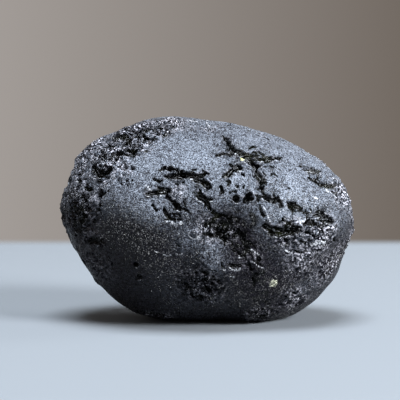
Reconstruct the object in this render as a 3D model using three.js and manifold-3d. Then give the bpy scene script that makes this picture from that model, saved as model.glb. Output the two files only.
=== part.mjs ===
// Indochinite tektite: an ovoid splash-form lump of black natural glass, etched in the ground into
// worm-like gouges, round pits and a navel ring, and worn flat where it rests.
// Millimetres, +Z up. The stone lies along X, its best side faces -Y, and it rests on z = 0.
import * as THREE from 'three';
import { mergeVertices } from 'three/addons/utils/BufferGeometryUtils.js';
import Module from 'manifold-3d';

const wasm = await Module();
wasm.setup();

// ---- driving dimensions ----

// Half sizes of the plain ovoid that every place on the stone is measured on
const HALF = new THREE.Vector3(27.5, 18.6, 19.0);
// Height of the middle of the ovoid above the surface it rests on
const CENTRE_HEIGHT = 19.0;
// Outline seen from the broad side: its radius about the middle every 15 degrees, from +X over the top
const OUTLINE = [
  28.0, 26.6, 23.1, 20.7, 18.9, 18.3, 18.1, 19.1, 20.6, 22.9, 25.5, 26.5,
  26.9, 24.9, 23.4, 22.4, 21.2, 20.0, 19.5, 20.0, 22.5, 24.6, 26.2, 27.0,
];
// The foot: everything that would reach lower is worn away at this height
const FOOT_HEIGHT = 0;

// Longest edge of the mesh on the plain skin, in a rough patch, and at a dent as a share of its radius
const EDGE_ON_SKIN = 4.0;
const EDGE_IN_ROUGH = 2.3;
const EDGE_AT_DENT = 1.15;
const REFINING_PASSES = 5;

// Broad waviness of the whole skin, and the knobbly relief of the rough patches
const WAVES = { length: 9.0, height: 0.25 };
const KNOBS = { length: 2.6, height: 1.0 };

// ---- what is on each side ----
// A place on a side is two distances in mm: x and z on the front and back, x and y on the top and
// underside, y and z on the left and right ends.

// Rough, knobbly patches: side, place, radius, strength
const ROUGH_PATCHES = [
  ['front', 17.8, 17.6, 8.0, 1.0],
  ['front', -22.5, 21.0, 6.0, 1.0],
  ['front', -18.5, 30.5, 5.0, 0.7],
  ['front', -1.0, 8.0, 4.5, 0.6],
  ['front', 19.0, 9.5, 4.5, 0.6],
  ['front', 4.0, 17.0, 4.5, 0.6],
  ['left', 3.0, 20.0, 8.0, 1.0],
  ['right', 3.0, 20.0, 8.0, 1.0],
  ['back', -8.0, 10.0, 6.0, 0.8],
  ['back', 13.0, 28.0, 6.0, 0.7],
];

// Broad dents, and swellings where the depth is below zero: side, place, radius, depth
const DENTS = [
  ['front', 5.5, 18.4, 4.0, 2.1],
  ['front', 2.5, 20.5, 2.2, 0.35],
  ['front', -6.0, 24.0, 3.6, 0.35],
  ['front', -2.0, 17.8, 2.0, -0.45],
  ['front', 2.5, 14.2, 2.6, -0.45],
  ['front', -23.0, 18.5, 2.4, 0.5],
  ['front', -19.2, 27.3, 1.3, -0.35],
  ['front', -25.2, 26.8, 1.0, -0.5],
  ['front', -25.4, 25.2, 0.7, -0.4],
  ['front', -25.2, 11.2, 0.8, 0.5],
  ['front', -23.4, 9.9, 1.0, -0.35],
  ['front', 24.6, 9.4, 1.0, 0.5],
  ['front', 20.5, 17.6, 3.5, -0.3],
  ['back', 9.0, 22.0, 4.0, 0.8],
  ['back', -10.0, 16.0, 5.0, 0.7],
  ['back', -1.0, 27.0, 4.5, -0.5],
  ['top', 4.0, 5.0, 5.0, 0.5],
  ['top', -12.0, 2.0, 4.5, -0.4],
  ['left', 4.0, 17.0, 4.0, 0.6],
  ['right', 5.0, 24.0, 4.0, 0.6],
];

// Long rises, and a valley where the rise is below zero: side, rise, reach, then the places
const SWELLS = [
  // the brow across the left of the front, where its upper face turns under
  ['front', 0.6, 3.0, [[-24.1, 21.8], [-17.4, 21.8], [-12.0, 21.5], [-7.4, 20.7], [-3.3, 21.0]]],
  // the bulge below the middle, and the valley to its right
  ['front', 0.9, 2.6, [[-0.8, 13.2], [4.8, 11.6]]],
  ['front', -0.5, 2.0, [[10.0, 18.0], [12.6, 14.2]]],
];

// Gouges: side, width, depth, then the places that they run through. A ridge has a depth below zero.
const GOUGES = [
  // the star of gouges high on the front
  ['front', 1.7, 1.2, [[5.2, 34.6], [7.0, 33.2], [8.8, 31.6], [10.6, 30.0], [12.0, 28.9]]],
  ['front', 1.0, 0.7, [[11.3, 29.2], [13.0, 28.5], [14.9, 28.0]]],
  ['front', 1.0, 0.7, [[12.0, 29.1], [14.4, 29.2], [17.4, 29.0]]],
  ['front', 1.1, 0.7, [[2.8, 31.7], [5.1, 31.9], [7.4, 31.6]]],
  ['front', 1.1, 0.8, [[10.6, 31.8], [12.6, 31.1], [14.3, 30.2]]],
  ['front', 0.8, 0.5, [[10.9, 32.8], [12.6, 32.5], [13.9, 31.4]]],
  ['front', 1.2, 0.9, [[11.7, 28.4], [11.9, 26.8], [12.1, 25.1], [11.9, 23.8]]],
  ['front', 1.2, 0.8, [[4.5, 27.5], [6.2, 28.4], [8.5, 29.4]]],
  ['front', 1.1, 0.8, [[11.2, 23.2], [12.1, 22.7], [13.3, 22.4], [14.4, 21.7]]],
  ['front', 1.6, 1.2, [[10.6, 19.2], [11.7, 18.6], [13.0, 18.2], [14.8, 18.2], [17.0, 18.8]]],
  // the navel ring
  ['front', 1.5, 1.0, [[-10.6, 27.6], [-9.0, 27.8], [-7.0, 27.9], [-4.0, 28.0], [0.4, 27.7]]],
  ['front', 1.1, 0.9, [[-2.9, 27.4], [-0.8, 26.8], [0.9, 25.7]]],
  ['front', 1.2, 0.8, [[-11.9, 23.4], [-10.6, 23.8], [-9.4, 24.3], [-8.0, 24.9]]],
  ['front', 1.4, 1.0, [[-2.3, 24.7], [-0.6, 23.9], [0.8, 23.1]]],
  ['front', 1.0, 0.6, [[0.4, 23.7], [0.7, 22.9], [1.3, 21.9]]],
  ['front', 1.0, 0.7, [[-8.5, 23.8], [-7.3, 23.0], [-6.1, 22.2], [-5.0, 21.7]]],
  ['front', 0.9, 0.5, [[-8.1, 21.6], [-7.1, 20.8], [-6.0, 20.2], [-4.4, 20.0]]],
  // the dark middle, low on the front
  ['front', 1.1, 0.6, [[0.1, 21.8], [1.9, 20.4], [3.4, 19.8], [5.3, 19.9]]],
  ['front', 1.1, 0.5, [[6.0, 18.7], [7.0, 17.6], [8.1, 16.4], [9.0, 15.1]]],
  ['front', 0.8, 0.5, [[5.8, 13.1], [6.9, 12.6], [8.1, 13.1]]],
  // the rough right side of the front
  ['front', 1.6, 1.1, [[19.9, 19.6], [20.9, 20.3], [21.8, 20.0], [23.3, 19.2]]],
  ['front', 1.0, 0.7, [[15.7, 21.8], [16.6, 21.5], [17.6, 21.2]]],
  ['front', 1.0, 0.8, [[20.4, 27.3], [21.4, 26.5], [22.4, 25.9], [23.5, 26.1]]],
  ['front', 0.9, 0.6, [[21.2, 24.8], [22.0, 24.2], [23.6, 23.6], [25.3, 23.7]]],
  ['front', 0.9, -0.3, [[17.0, 19.2], [18.6, 19.9], [19.8, 20.1]]],
  // the pitted shoulder and the left end of the front
  ['front', 0.9, 0.6, [[-15.0, 33.2], [-14.2, 34.0], [-12.5, 34.9]]],
  ['front', 1.2, 0.9, [[-19.0, 28.0], [-18.2, 28.6], [-17.3, 29.3]]],
  ['front', 1.3, 1.0, [[-21.8, 27.0], [-21.6, 26.1], [-20.8, 25.7], [-19.8, 25.8], [-18.8, 26.4]]],
  ['front', 1.0, 0.6, [[-19.4, 30.8], [-17.8, 31.3], [-16.4, 31.6]]],
  ['front', 1.1, 0.8, [[-16.8, 30.0], [-14.9, 30.7]]],
  ['front', 0.9, 0.5, [[-22.0, 21.0], [-22.7, 19.8], [-23.0, 18.8], [-24.1, 16.7]]],
  ['front', 1.3, 0.5, [[-22.9, 16.4], [-21.0, 16.7], [-19.0, 16.7]]],
  ['front', 0.8, -0.3, [[-21.3, 19.2], [-19.7, 20.5], [-19.1, 21.2]]],
  // the back
  ['back', 1.3, 1.0, [[-16.0, 25.5], [-13.5, 27.5], [-12.5, 29.5], [-10.0, 30.5]]],
  ['back', 0.9, 0.7, [[-13.5, 27.5], [-11.0, 26.5], [-9.5, 27.5]]],
  ['back', 1.1, 0.9, [[-6.0, 28.5], [-4.0, 29.0], [-2.5, 27.5], [-3.0, 25.5]]],
  ['back', 1.2, 0.9, [[5.0, 21.0], [5.5, 24.5], [8.0, 26.2]]],
  ['back', 1.0, 0.8, [[10.5, 26.0], [12.8, 24.0], [12.5, 21.5]]],
  ['back', 0.9, 0.6, [[7.0, 18.6], [9.0, 18.0], [11.0, 18.6]]],
  ['back', 1.1, 0.8, [[8.2, 23.4], [9.4, 22.4], [9.2, 21.0]]],
  ['back', 1.2, 0.9, [[-1.0, 11.5], [2.0, 10.5], [4.5, 8.5], [8.0, 9.0], [10.0, 8.0]]],
  ['back', 1.1, 0.8, [[-12.0, 18.5], [-9.5, 16.5], [-8.5, 14.0]]],
  ['back', 1.0, 0.7, [[-20.0, 17.0], [-19.0, 14.5], [-16.5, 13.0]]],
  ['back', 1.0, 0.8, [[15.5, 30.5], [17.0, 29.5], [18.0, 27.0], [20.5, 26.5]]],
  ['back', 1.1, 0.8, [[16.5, 15.0], [19.0, 15.5], [21.0, 14.0]]],
  // the top
  ['top', 1.1, 0.8, [[-13.0, 3.0], [-10.0, 5.5], [-7.5, 5.0], [-5.0, 6.5]]],
  ['top', 1.2, 0.9, [[5.0, 1.5], [8.0, 3.5], [10.5, 3.0], [13.5, 5.0]]],
  ['top', 0.9, 0.6, [[8.0, 3.5], [8.5, 6.5], [7.5, 8.5]]],
  // the underside
  ['under', 1.2, 0.8, [[-16.0, -4.0], [-13.5, -7.0], [-10.0, -7.5]]],
  ['under', 1.1, 0.8, [[-12.0, 8.0], [-8.5, 8.5], [-6.0, 10.5], [-2.0, 9.5]]],
  ['under', 1.1, 0.7, [[16.0, 7.0], [17.5, 3.5], [19.5, 2.0]]],
  // the two ends
  ['left', 1.2, 0.9, [[-6.0, 21.5], [-3.5, 24.0], [-0.5, 23.5], [2.0, 26.0]]],
  ['left', 1.1, 0.8, [[0.5, 12.5], [3.0, 14.0], [6.5, 13.5], [8.5, 16.0]]],
  ['right', 1.2, 0.9, [[-5.0, 16.5], [-2.0, 14.5], [1.0, 15.0], [4.0, 13.5]]],
  ['right', 1.1, 0.8, [[-1.5, 21.5], [1.0, 24.0], [4.5, 23.5], [7.0, 25.5]]],
  ['right', 0.9, 0.6, [[-3.0, 28.0], [0.0, 29.5], [3.0, 28.5]]],
];

// Round pits, where gas bubbles were cut open: side, place, radius, depth
const PITS = [
  ['front', 8.9, 23.7, 0.8, 0.8],
  ['front', 6.4, 24.1, 0.55, 0.5],
  ['front', 16.1, 21.4, 0.7, 0.7],
  ['front', 21.6, 24.7, 0.6, 0.5],
  ['front', -10.1, 34.0, 0.55, 0.5],
  ['front', -19.2, 22.8, 0.6, 0.5],
  ['front', -14.1, 13.4, 0.5, 0.5],
  ['front', -14.2, 11.2, 0.65, 0.6],
  ['back', 0.0, 31.5, 0.9, 0.8],
  ['back', 4.0, 14.0, 0.8, 0.7],
  ['back', -9.0, 12.0, 1.0, 0.8],
  ['back', 18.0, 19.5, 0.9, 0.7],
  ['back', -19.0, 24.0, 0.8, 0.7],
  ['back', 0.0, 22.5, 0.7, 0.6],
  ['top', -3.0, -1.0, 0.8, 0.6],
  ['top', 15.0, -4.0, 0.7, 0.6],
  ['under', 13.0, -8.0, 0.8, 0.6],
  ['under', -16.0, 1.0, 0.9, 0.7],
  ['left', 2.0, 19.0, 1.0, 0.8],
  ['left', -8.0, 18.0, 0.7, 0.6],
  ['right', 3.0, 19.5, 1.0, 0.8],
  ['right', 8.0, 12.0, 0.8, 0.7],
];

// ---- base form ----

// Smooth curve through evenly spaced radii that closes on itself (Catmull-Rom)
function outlineRadius(angle) {
  const count = OUTLINE.length;
  const step = (angle / (2 * Math.PI)) * count + count;
  const i = Math.floor(step);
  const f = step - i;
  const [a, b, c, d] = [-1, 0, 1, 2].map((k) => OUTLINE[(i + k) % count]);
  return 0.5 * (2 * b + (c - a) * f + (2 * a - 5 * b + 4 * c - d) * f * f
    + (3 * b - 3 * c + d - a) * f * f * f);
}

// Point of the base form in the unit direction u. Round the broad side it follows the outline, and
// towards the middle of the front and back it turns into the plain ovoid.
function basePoint(u) {
  const angle = Math.atan2(u.z, u.x);
  const ovoid = 1 / Math.hypot(Math.cos(angle) / HALF.x, Math.sin(angle) / HALF.z);
  const rim = u.x * u.x + u.z * u.z;
  const radius = ovoid + (outlineRadius(angle) - ovoid) * rim;
  return new THREE.Vector3(radius * u.x, HALF.y * u.y, CENTRE_HEIGHT + radius * u.z);
}

// Axes of a place on each side, and the axis and sign that it looks along
const SIDES = {
  front: ['x', 'z', 'y', -1],
  back: ['x', 'z', 'y', 1],
  top: ['x', 'y', 'z', 1],
  under: ['x', 'y', 'z', -1],
  left: ['y', 'z', 'x', -1],
  right: ['y', 'z', 'x', 1],
};

// Unit direction, seen from the middle of the stone, of a place on a side
function direction(side, first, second) {
  const [a, b, out, sign] = SIDES[side];
  const u = new THREE.Vector3();
  u[a] = first / HALF[a];
  u[b] = (second - (b === 'z' ? CENTRE_HEIGHT : 0)) / HALF[b];
  u[out] = sign * Math.sqrt(Math.max(0, 1 - u.lengthSq()));
  return u.normalize();
}

// ---- relief ----

// Repeatable number from 0 to 1 for a corner of the noise lattice
function cornerValue(i, j, k) {
  const s = Math.sin(i * 127.1 + j * 311.7 + k * 74.7) * 43758.5453;
  return s - Math.floor(s);
}

// Smooth noise from -1 to 1: corner values of a lattice, blended along X, then Y, then Z
function noise(p, length) {
  const q = p.clone().divideScalar(length);
  const [i, j, k] = [Math.floor(q.x), Math.floor(q.y), Math.floor(q.z)];
  const [u, v, w] = [q.x - i, q.y - j, q.z - k].map((t) => t * t * (3 - 2 * t));
  const { lerp } = THREE.MathUtils;
  const alongX = (dj, dk) => lerp(cornerValue(i, j + dj, k + dk), cornerValue(i + 1, j + dj, k + dk), u);
  const level = (dk) => lerp(alongX(0, dk), alongX(1, dk), v);
  return 2 * lerp(level(0), level(1), w) - 1;
}

const bell = (distance, radius) => Math.exp(-((distance / radius) ** 2));

const patches = ROUGH_PATCHES.map(([side, a, b, radius, strength]) => (
  { centre: basePoint(direction(side, a, b)), radius, strength }));
const dents = DENTS.map(([side, a, b, radius, depth]) => (
  { centre: basePoint(direction(side, a, b)), radius, depth }));

const swells = SWELLS.map(([side, rise, reach, places]) => {
  const stations = places.map(([a, b]) => basePoint(direction(side, a, b)));
  const pieces = stations.slice(1).map((station, i) => new THREE.Line3(stations[i], station));
  return { rise, reach, pieces };
});

// Distance of the point p to the nearest of the straight pieces
const pathDistance = (p, pieces) => Math.min(...pieces.map((piece) => (
  piece.closestPointToPoint(p, true, new THREE.Vector3()).distanceTo(p))));

const roughness = (p) => patches.reduce((most, { centre, radius, strength }) => (
  Math.max(most, strength * bell(p.distanceTo(centre), radius))), 0);

// Height of the skin above the base form at its point p, before the gouges and pits are cut
function swell(p) {
  const waves = WAVES.height * noise(p, WAVES.length);
  const knobs = KNOBS.height * roughness(p) * noise(p, KNOBS.length);
  const dented = dents.reduce((height, { centre, radius, depth }) => (
    height - depth * bell(p.distanceTo(centre), radius)), waves + knobs);
  return swells.reduce((height, { rise, reach, pieces }) => (
    height + rise * bell(pathDistance(p, pieces), reach)), dented);
}

const outwards = (u) => u.clone().divide(HALF).normalize();

// Point of the skin in the unit direction u, worn flat at the foot
function skinPoint(u) {
  const base = basePoint(u);
  const point = base.addScaledVector(outwards(u), swell(base));
  point.z = Math.max(point.z, FOOT_HEIGHT);
  return point;
}

// ---- skin ----

// The longest that an edge may be at the point p of the base form
function edgeLimit(p) {
  const skin = EDGE_ON_SKIN + (EDGE_IN_ROUGH - EDGE_ON_SKIN) * roughness(p);
  return dents.reduce((limit, { centre, radius }) => (
    Math.min(limit, Math.max(EDGE_AT_DENT * radius, p.distanceTo(centre) - radius))), skin);
}

// The triangles that a triangle turns into when some of its sides have a middle. -1 means no middle.
function split([a, b, c], [ab, bc, ca]) {
  const count = [ab, bc, ca].filter((middle) => middle >= 0).length;
  if (count === 0) return [[a, b, c]];
  if (count === 3) return [[a, ab, ca], [ab, b, bc], [ca, bc, c], [ab, bc, ca]];
  // turned round until the first side is split, and with two split sides the last one isn't
  if (ab < 0 || (count === 2 && ca >= 0)) return split([b, c, a], [bc, ca, ab]);
  if (count === 1) return [[a, ab, c], [ab, b, c]];
  return [[a, ab, c], [ab, bc, c], [ab, b, bc]];
}

// Points and triangles of a three.js shape, with the points that its faces share made one
function shared(shape) {
  shape.deleteAttribute('normal');
  shape.deleteAttribute('uv');
  const { attributes, index } = mergeVertices(shape);
  const points = [];
  for (let i = 0; i < attributes.position.count; i += 1) {
    points.push(new THREE.Vector3().fromBufferAttribute(attributes.position, i));
  }
  const triangles = [];
  for (let i = 0; i < index.count; i += 3) triangles.push([0, 1, 2].map((k) => index.getX(i + k)));
  return { points, triangles };
}

// A ball of directions, split again and again where its edges are longer than the limit. Both
// triangles at a split edge share its middle, so the ball stays closed.
function refinedBall() {
  let { points, triangles } = shared(new THREE.IcosahedronGeometry(1, 8));
  for (let pass = 0; pass < REFINING_PASSES; pass += 1) {
    const base = points.map(basePoint);
    const middles = new Map();
    const middleOf = (i, j) => {
      const key = i < j ? `${i} ${j}` : `${j} ${i}`;
      if (!middles.has(key)) {
        const middle = points[i].clone().add(points[j]).normalize();
        const long = base[i].distanceTo(base[j]) > edgeLimit(basePoint(middle));
        middles.set(key, long ? points.push(middle) - 1 : -1);
      }
      return middles.get(key);
    };
    triangles = triangles.flatMap(([a, b, c]) => (
      split([a, b, c], [middleOf(a, b), middleOf(b, c), middleOf(c, a)])));
  }
  return { points, triangles };
}

// A closed solid that can be cut and joined
function solid({ points, triangles }) {
  const vertProperties = new Float32Array(points.flatMap((p) => p.toArray()));
  const triVerts = new Uint32Array(triangles.flat());
  return new wasm.Manifold(new wasm.Mesh({ numProp: 3, vertProperties, triVerts }));
}

function skin() {
  const { points, triangles } = refinedBall();
  return solid({ points: points.map((u) => skinPoint(u.normalize())), triangles });
}

// ---- gouges, ridges and pits ----

// Section of a gouge, from rim to rim and back above the skin: across in half widths, down in depths
const GOUGE_SECTION = [[-1, 0], [-0.7, 0.75], [0, 1], [0.7, 0.75], [1, 0]];
const NARROW_SECTION = [[-1, 0], [0, 1], [1, 0]];
const NARROW = 0.95;
// How far the tool that cuts a gouge stands above the skin, and a ridge is sunk in it
const OVERLAP = 1.2;
// Distance between two sections along a gouge, and the size of its blunt ends as a share of its middle
const STATION_STEP = 1.5;
const BLUNT_END = 0.5;

// Solid of a gouge or ridge: its section is carried along the curve through its places on the skin. It
// is widest and deepest in its middle.
function track([side, width, depth, places]) {
  const curve = new THREE.CatmullRomCurve3(places.map(([a, b]) => new THREE.Vector3(a, b, 0)));
  const steps = Math.max(3, Math.ceil(curve.getLength() / STATION_STEP));
  const directions = curve.getSpacedPoints(steps).map((place) => direction(side, place.x, place.y));
  const middles = directions.map(skinPoint);
  const profile = width < NARROW ? NARROW_SECTION : GOUGE_SECTION;
  const section = [...profile, [1, -OVERLAP / Math.abs(depth)], [-1, -OVERLAP / Math.abs(depth)]];
  const points = [];
  const triangles = [];
  middles.forEach((middle, i) => {
    const t = i / steps;
    const fullness = BLUNT_END + (1 - BLUNT_END) * Math.sqrt(4 * t * (1 - t));
    const out = outwards(directions[i]);
    const along = middles[Math.min(i + 1, steps)].clone().sub(middles[Math.max(i - 1, 0)]).normalize();
    const across = new THREE.Vector3().crossVectors(along, out).normalize();
    for (const [sideways, down] of section) {
      const reach = down > 0 ? down * depth * fullness : down * depth;
      points.push(middle.clone()
        .addScaledVector(across, 0.5 * width * fullness * sideways)
        .addScaledVector(out, -reach));
    }
  });
  const n = section.length;
  for (let i = 0; i < steps; i += 1) {
    for (let k = 0; k < n; k += 1) {
      const [a, b] = [i * n + k, i * n + ((k + 1) % n)];
      triangles.push([a, b + n, b], [a, a + n, b + n]);
    }
  }
  for (let k = 1; k < n - 1; k += 1) {
    triangles.push([0, k, k + 1], [steps * n, steps * n + k + 1, steps * n + k]);
  }
  // a ridge's section points the other way, which turns its faces round
  return solid({ points, triangles: depth > 0 ? triangles : triangles.map(([a, b, c]) => [a, c, b]) });
}

// Solid of the bubble that a pit is half of
function bubble([side, a, b, radius, depth]) {
  const u = direction(side, a, b);
  const turn = new THREE.Quaternion().setFromUnitVectors(new THREE.Vector3(0, 0, 1), outwards(u));
  const ball = new THREE.OctahedronGeometry(1, 1).scale(radius, radius, depth).applyQuaternion(turn);
  const centre = skinPoint(u);
  return solid(shared(ball.translate(centre.x, centre.y, centre.z)));
}

// ---- the stone ----

function tektiteGeometry() {
  const ridges = GOUGES.filter(([, , depth]) => depth < 0).map(track);
  const hollows = [...GOUGES.filter(([, , depth]) => depth > 0).map(track), ...PITS.map(bubble)];
  const raised = ridges.reduce((stone, ridge) => stone.add(ridge), skin());
  const etched = hollows.reduce((stone, hollow) => stone.subtract(hollow), raised);
  const { vertProperties, triVerts } = etched.getMesh();
  const geometry = new THREE.BufferGeometry();
  geometry.setAttribute('position', new THREE.BufferAttribute(vertProperties, 3));
  geometry.setIndex(new THREE.BufferAttribute(triVerts, 1));
  geometry.computeVertexNormals();
  return geometry;
}

const blackGlass = new THREE.MeshStandardMaterial({ color: 0x23262b, roughness: 0.45, metalness: 0 });

const tektite = new THREE.Mesh(tektiteGeometry(), blackGlass);
tektite.name = 'tektite';
// the origin is the middle of the footprint
const middle = new THREE.Box3().setFromObject(tektite).getCenter(new THREE.Vector3());
tektite.position.set(-middle.x, -middle.y, 0);

const stone = new THREE.Group();
stone.add(tektite);

export default stone;
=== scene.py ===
# %% [markdown]
# # An indochinite tektite, etched black glass
# A tektite is a lump of natural glass, thrown out molten by a meteorite's impact and chilled in
# flight. This one is an ovoid as long as a hen's egg. Groundwater has since etched its skin: it is
# frosted all over, with worm-like gouges, round pits where bubbles were cut open, a ring called a
# navel, and rough ends. It could be sculpted by hand, or given a displacement map. Here its surface
# is worked out with numpy instead, as a height over a ball of directions, because each gouge then
# has a place, a width and a depth in millimetres that can be read and changed.

# %% Load the frame
import math

import bpy
import numpy as np
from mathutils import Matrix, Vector


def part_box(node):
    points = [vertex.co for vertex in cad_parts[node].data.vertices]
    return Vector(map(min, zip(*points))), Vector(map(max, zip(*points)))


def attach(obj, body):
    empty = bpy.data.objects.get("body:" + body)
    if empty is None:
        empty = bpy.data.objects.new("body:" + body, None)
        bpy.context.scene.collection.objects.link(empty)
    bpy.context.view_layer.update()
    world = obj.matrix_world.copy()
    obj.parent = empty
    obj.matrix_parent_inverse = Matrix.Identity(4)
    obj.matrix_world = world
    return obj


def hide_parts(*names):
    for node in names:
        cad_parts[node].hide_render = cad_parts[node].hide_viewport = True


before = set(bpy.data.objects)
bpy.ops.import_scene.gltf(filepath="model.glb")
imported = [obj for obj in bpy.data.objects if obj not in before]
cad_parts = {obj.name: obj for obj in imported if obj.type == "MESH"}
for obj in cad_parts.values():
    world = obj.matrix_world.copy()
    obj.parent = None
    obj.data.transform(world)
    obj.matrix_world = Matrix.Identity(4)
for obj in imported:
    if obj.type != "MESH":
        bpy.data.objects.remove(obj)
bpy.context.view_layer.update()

stone_low, stone_high = (np.array(corner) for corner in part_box("tektite"))
print("the stone's box in mm:", np.round((stone_high - stone_low) * 1000, 2))

# %% [markdown]
# ## The measure
# All places below are drawn in millimetres on a stone of one length, lying along X with its best
# side to -Y. The frame says how long the packed stone really is. Writing metres everywhere would
# also work, but one factor between the two lets the drawing be read like a ruler.

# %% Millimetres of the drawing in metres of the frame
DRAWN_LENGTH = 55.04
MM = (stone_high[0] - stone_low[0]) / DRAWN_LENGTH
print("one drawn millimetre is", round(MM * 1000, 4), "mm")

# %% [markdown]
# ## The base form
# The real stone was a spinning drop that froze as an egg shape with a blunt end and flatter
# stretches. A plain ellipsoid would miss those, and a sculpted one would have no numbers. So the
# form is a plain ovoid whose broadside outline is bent to a smooth curve through a radius every 15
# degrees.

# %% Outline
OVOID = np.array([27.5, 18.6, 19.0])      # half sizes, mm
MIDDLE = np.array([0.0, 0.0, 19.0])
OUTLINE = np.array([
    28.0, 26.6, 23.1, 20.7, 18.9, 18.3, 18.1, 19.1, 20.6, 22.9, 25.5, 26.5,
    26.9, 24.9, 23.4, 22.4, 21.2, 20.0, 19.5, 20.0, 22.5, 24.6, 26.2, 27.0,
])


def between(a, b, c, d, f):
    """The cubic from b to c at the fraction f, with slopes set by a and d (Catmull-Rom)."""
    return 0.5 * (2 * b + (c - a) * f + (2 * a - 5 * b + 4 * c - d) * f**2
                  + (3 * b - 3 * c + d - a) * f**3)


def outline_radius(angle):
    """Radius of the broadside outline at an angle: the cubic through the two radii on each side of
    it, closed on itself."""
    step = angle / (2 * np.pi) * len(OUTLINE)
    i = np.floor(step).astype(int)
    return between(*(OUTLINE[(i + k) % len(OUTLINE)] for k in (-1, 0, 1, 2)), step - i)


print("outline radii from", OUTLINE.min(), "to", OUTLINE.max(), "mm")

# %% [markdown]
# ## From a direction to a point
# A drop has no grid of its own to draw on. A map round its poles would pinch there, so a place on
# the stone is kept as a unit direction from its middle, which works the same on all sides.

# %% Base form


def base_point(u):
    """Point of the base form in the unit directions u: x and z are a radius times the direction,
    where the radius goes from the plain ovoid's, at the middle of the front and back, to the
    outline's, round the rim, and y is half the depth times the direction."""
    angle = np.arctan2(u[:, 2], u[:, 0])
    ovoid = 1 / np.hypot(np.cos(angle) / OVOID[0], np.sin(angle) / OVOID[2])
    rim = u[:, 0]**2 + u[:, 2]**2
    radius = ovoid + (outline_radius(angle) - ovoid) * rim
    return MIDDLE + np.stack([radius * u[:, 0], OVOID[1] * u[:, 1], radius * u[:, 2]], axis=1)


def outwards(u):
    """Unit normal of the plain ovoid in the directions u: the direction over the half sizes."""
    normal = u / OVOID
    return normal / np.linalg.norm(normal, axis=1, keepdims=True)


print("top of the base form:", np.round(base_point(np.array([[0.0, 0.0, 1.0]]))[0], 1), "mm")

# %% [markdown]
# ## The ball of directions
# The skin needs points that lie evenly over the stone. A globe's grid crowds at its poles. A cube
# blown up to a ball spreads its six square grids evenly, and has no poles to close. The stone is
# longer than it is deep, so the grids have more squares along X, and the directions are all drawn a
# little to the front, where the finest etching is.

# %% Directions of the skin's grid
GRID = (160, 110, 116)       # squares along X, Y and Z
DRAW_TO_FRONT = 0.3


def ball_of_directions(counts):
    """Unit directions on the six faces of a cube, and the squares between them. A direction is its
    face's normal plus the tangents of two angles that run from -45 to 45 degrees over the face."""
    marks = [np.tan(np.linspace(-np.pi / 4, np.pi / 4, count + 1)) for count in counts]
    points, squares, total = [], [], 0
    for axis in range(3):
        first, second = (axis + 1) % 3, (axis + 2) % 3
        a, b = np.meshgrid(marks[first], marks[second], indexing="ij")
        number = np.arange(a.size).reshape(a.shape)
        square = np.stack(
            [number[:-1, :-1], number[1:, :-1], number[1:, 1:], number[:-1, 1:]], axis=-1)
        for sign in (1, -1):
            face = np.empty((*a.shape, 3))
            face[..., axis], face[..., first], face[..., second] = sign, a, b
            points.append(face.reshape(-1, 3))
            squares.append(square.reshape(-1, 4)[:, ::sign] + total)
            total += a.size
    points, squares = np.concatenate(points), np.concatenate(squares)
    points /= np.linalg.norm(points, axis=1, keepdims=True)

    # the grids' shared edges become one: equal points get one number
    _, kept, same = np.unique(np.round(points, 6), axis=0, return_index=True, return_inverse=True)
    return points[kept], same.reshape(-1)[squares]


directions, squares = ball_of_directions(GRID)
directions = directions + DRAW_TO_FRONT * np.array([0.0, -1.0, 0.0])
directions /= np.linalg.norm(directions, axis=1, keepdims=True)
base = base_point(directions)
normal = outwards(directions)
print(len(base), "points and", 2 * len(squares), "triangles")

# %% [markdown]
# ## Noise
# Glass etched in the ground has no straight or even surface. Blender's noise textures aren't in
# reach of numpy, so this is a small one: a lattice of repeatable numbers, blended smoothly. The
# same formula waves the packed solid, so the two agree.

# %% Smooth noise


def corner_value(i, j, k):
    """Repeatable number from 0 to 1 for a lattice corner: the part after the point of a large
    sine."""
    s = np.sin(i * 127.1 + j * 311.7 + k * 74.7) * 43758.5453
    return s - np.floor(s)


def noise(p, length):
    """Noise from -1 to 1: values at the corners of a lattice of that length, blended along X, Y and
    Z with the ease curve 3t^2 - 2t^3."""
    q = p / length
    cell = np.floor(q)
    ease = (q - cell)**2 * (3 - 2 * (q - cell))
    total = np.zeros(len(p))
    for corner in np.ndindex(2, 2, 2):
        weight = np.prod(np.where(corner, ease, 1 - ease), axis=1)
        total += weight * corner_value(*(cell + corner).T)
    return 2 * total - 1


# A turn of the axes between the octaves hides the lattice
TURN = np.array([[0.36, 0.48, -0.8], [-0.8, 0.6, 0.0], [0.48, 0.64, 0.6]])


def layered(p, length, octaves):
    """Sum of noises, each half the length and half the height of the one before, on turned axes."""
    total = np.zeros(len(p))
    for octave in range(octaves):
        total += noise(p, length / 2**octave) / 2**octave
        p = p @ TURN.T + 17.3
    return total


WAVES = 9.0           # length of the waves, mm

waves = noise(base, WAVES)
print("waves of", WAVES, "mm from", round(waves.min(), 2), "to", round(waves.max(), 2))

# %% [markdown]
# ## Places on the stone
# A mark is placed on a side, such as the front, by two distances in millimetres, as on a drawing of
# that side. Three coordinates would put many marks just off the surface. Two, dropped onto the
# plain ovoid and from there onto the base form, always land on it.

# %% Sides
SIDES = {
    "front": (0, 2, 1, -1), "back": (0, 2, 1, 1), "top": (0, 1, 2, 1),
    "under": (0, 1, 2, -1), "left": (1, 2, 0, -1), "right": (1, 2, 0, 1),
}


def direction(side, places):
    """Unit directions of places on a side: the two distances over the half sizes, and what is left
    to a length of one along the side's own axis."""
    first, second, out, sign = SIDES[side]
    places = np.atleast_2d(np.asarray(places, float))
    u = np.zeros((len(places), 3))
    u[:, first] = (places[:, 0] - MIDDLE[first]) / OVOID[first]
    u[:, second] = (places[:, 1] - MIDDLE[second]) / OVOID[second]
    u[:, out] = sign * np.sqrt(np.maximum(0, 1 - (u**2).sum(axis=1)))
    return u / np.linalg.norm(u, axis=1, keepdims=True)


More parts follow.
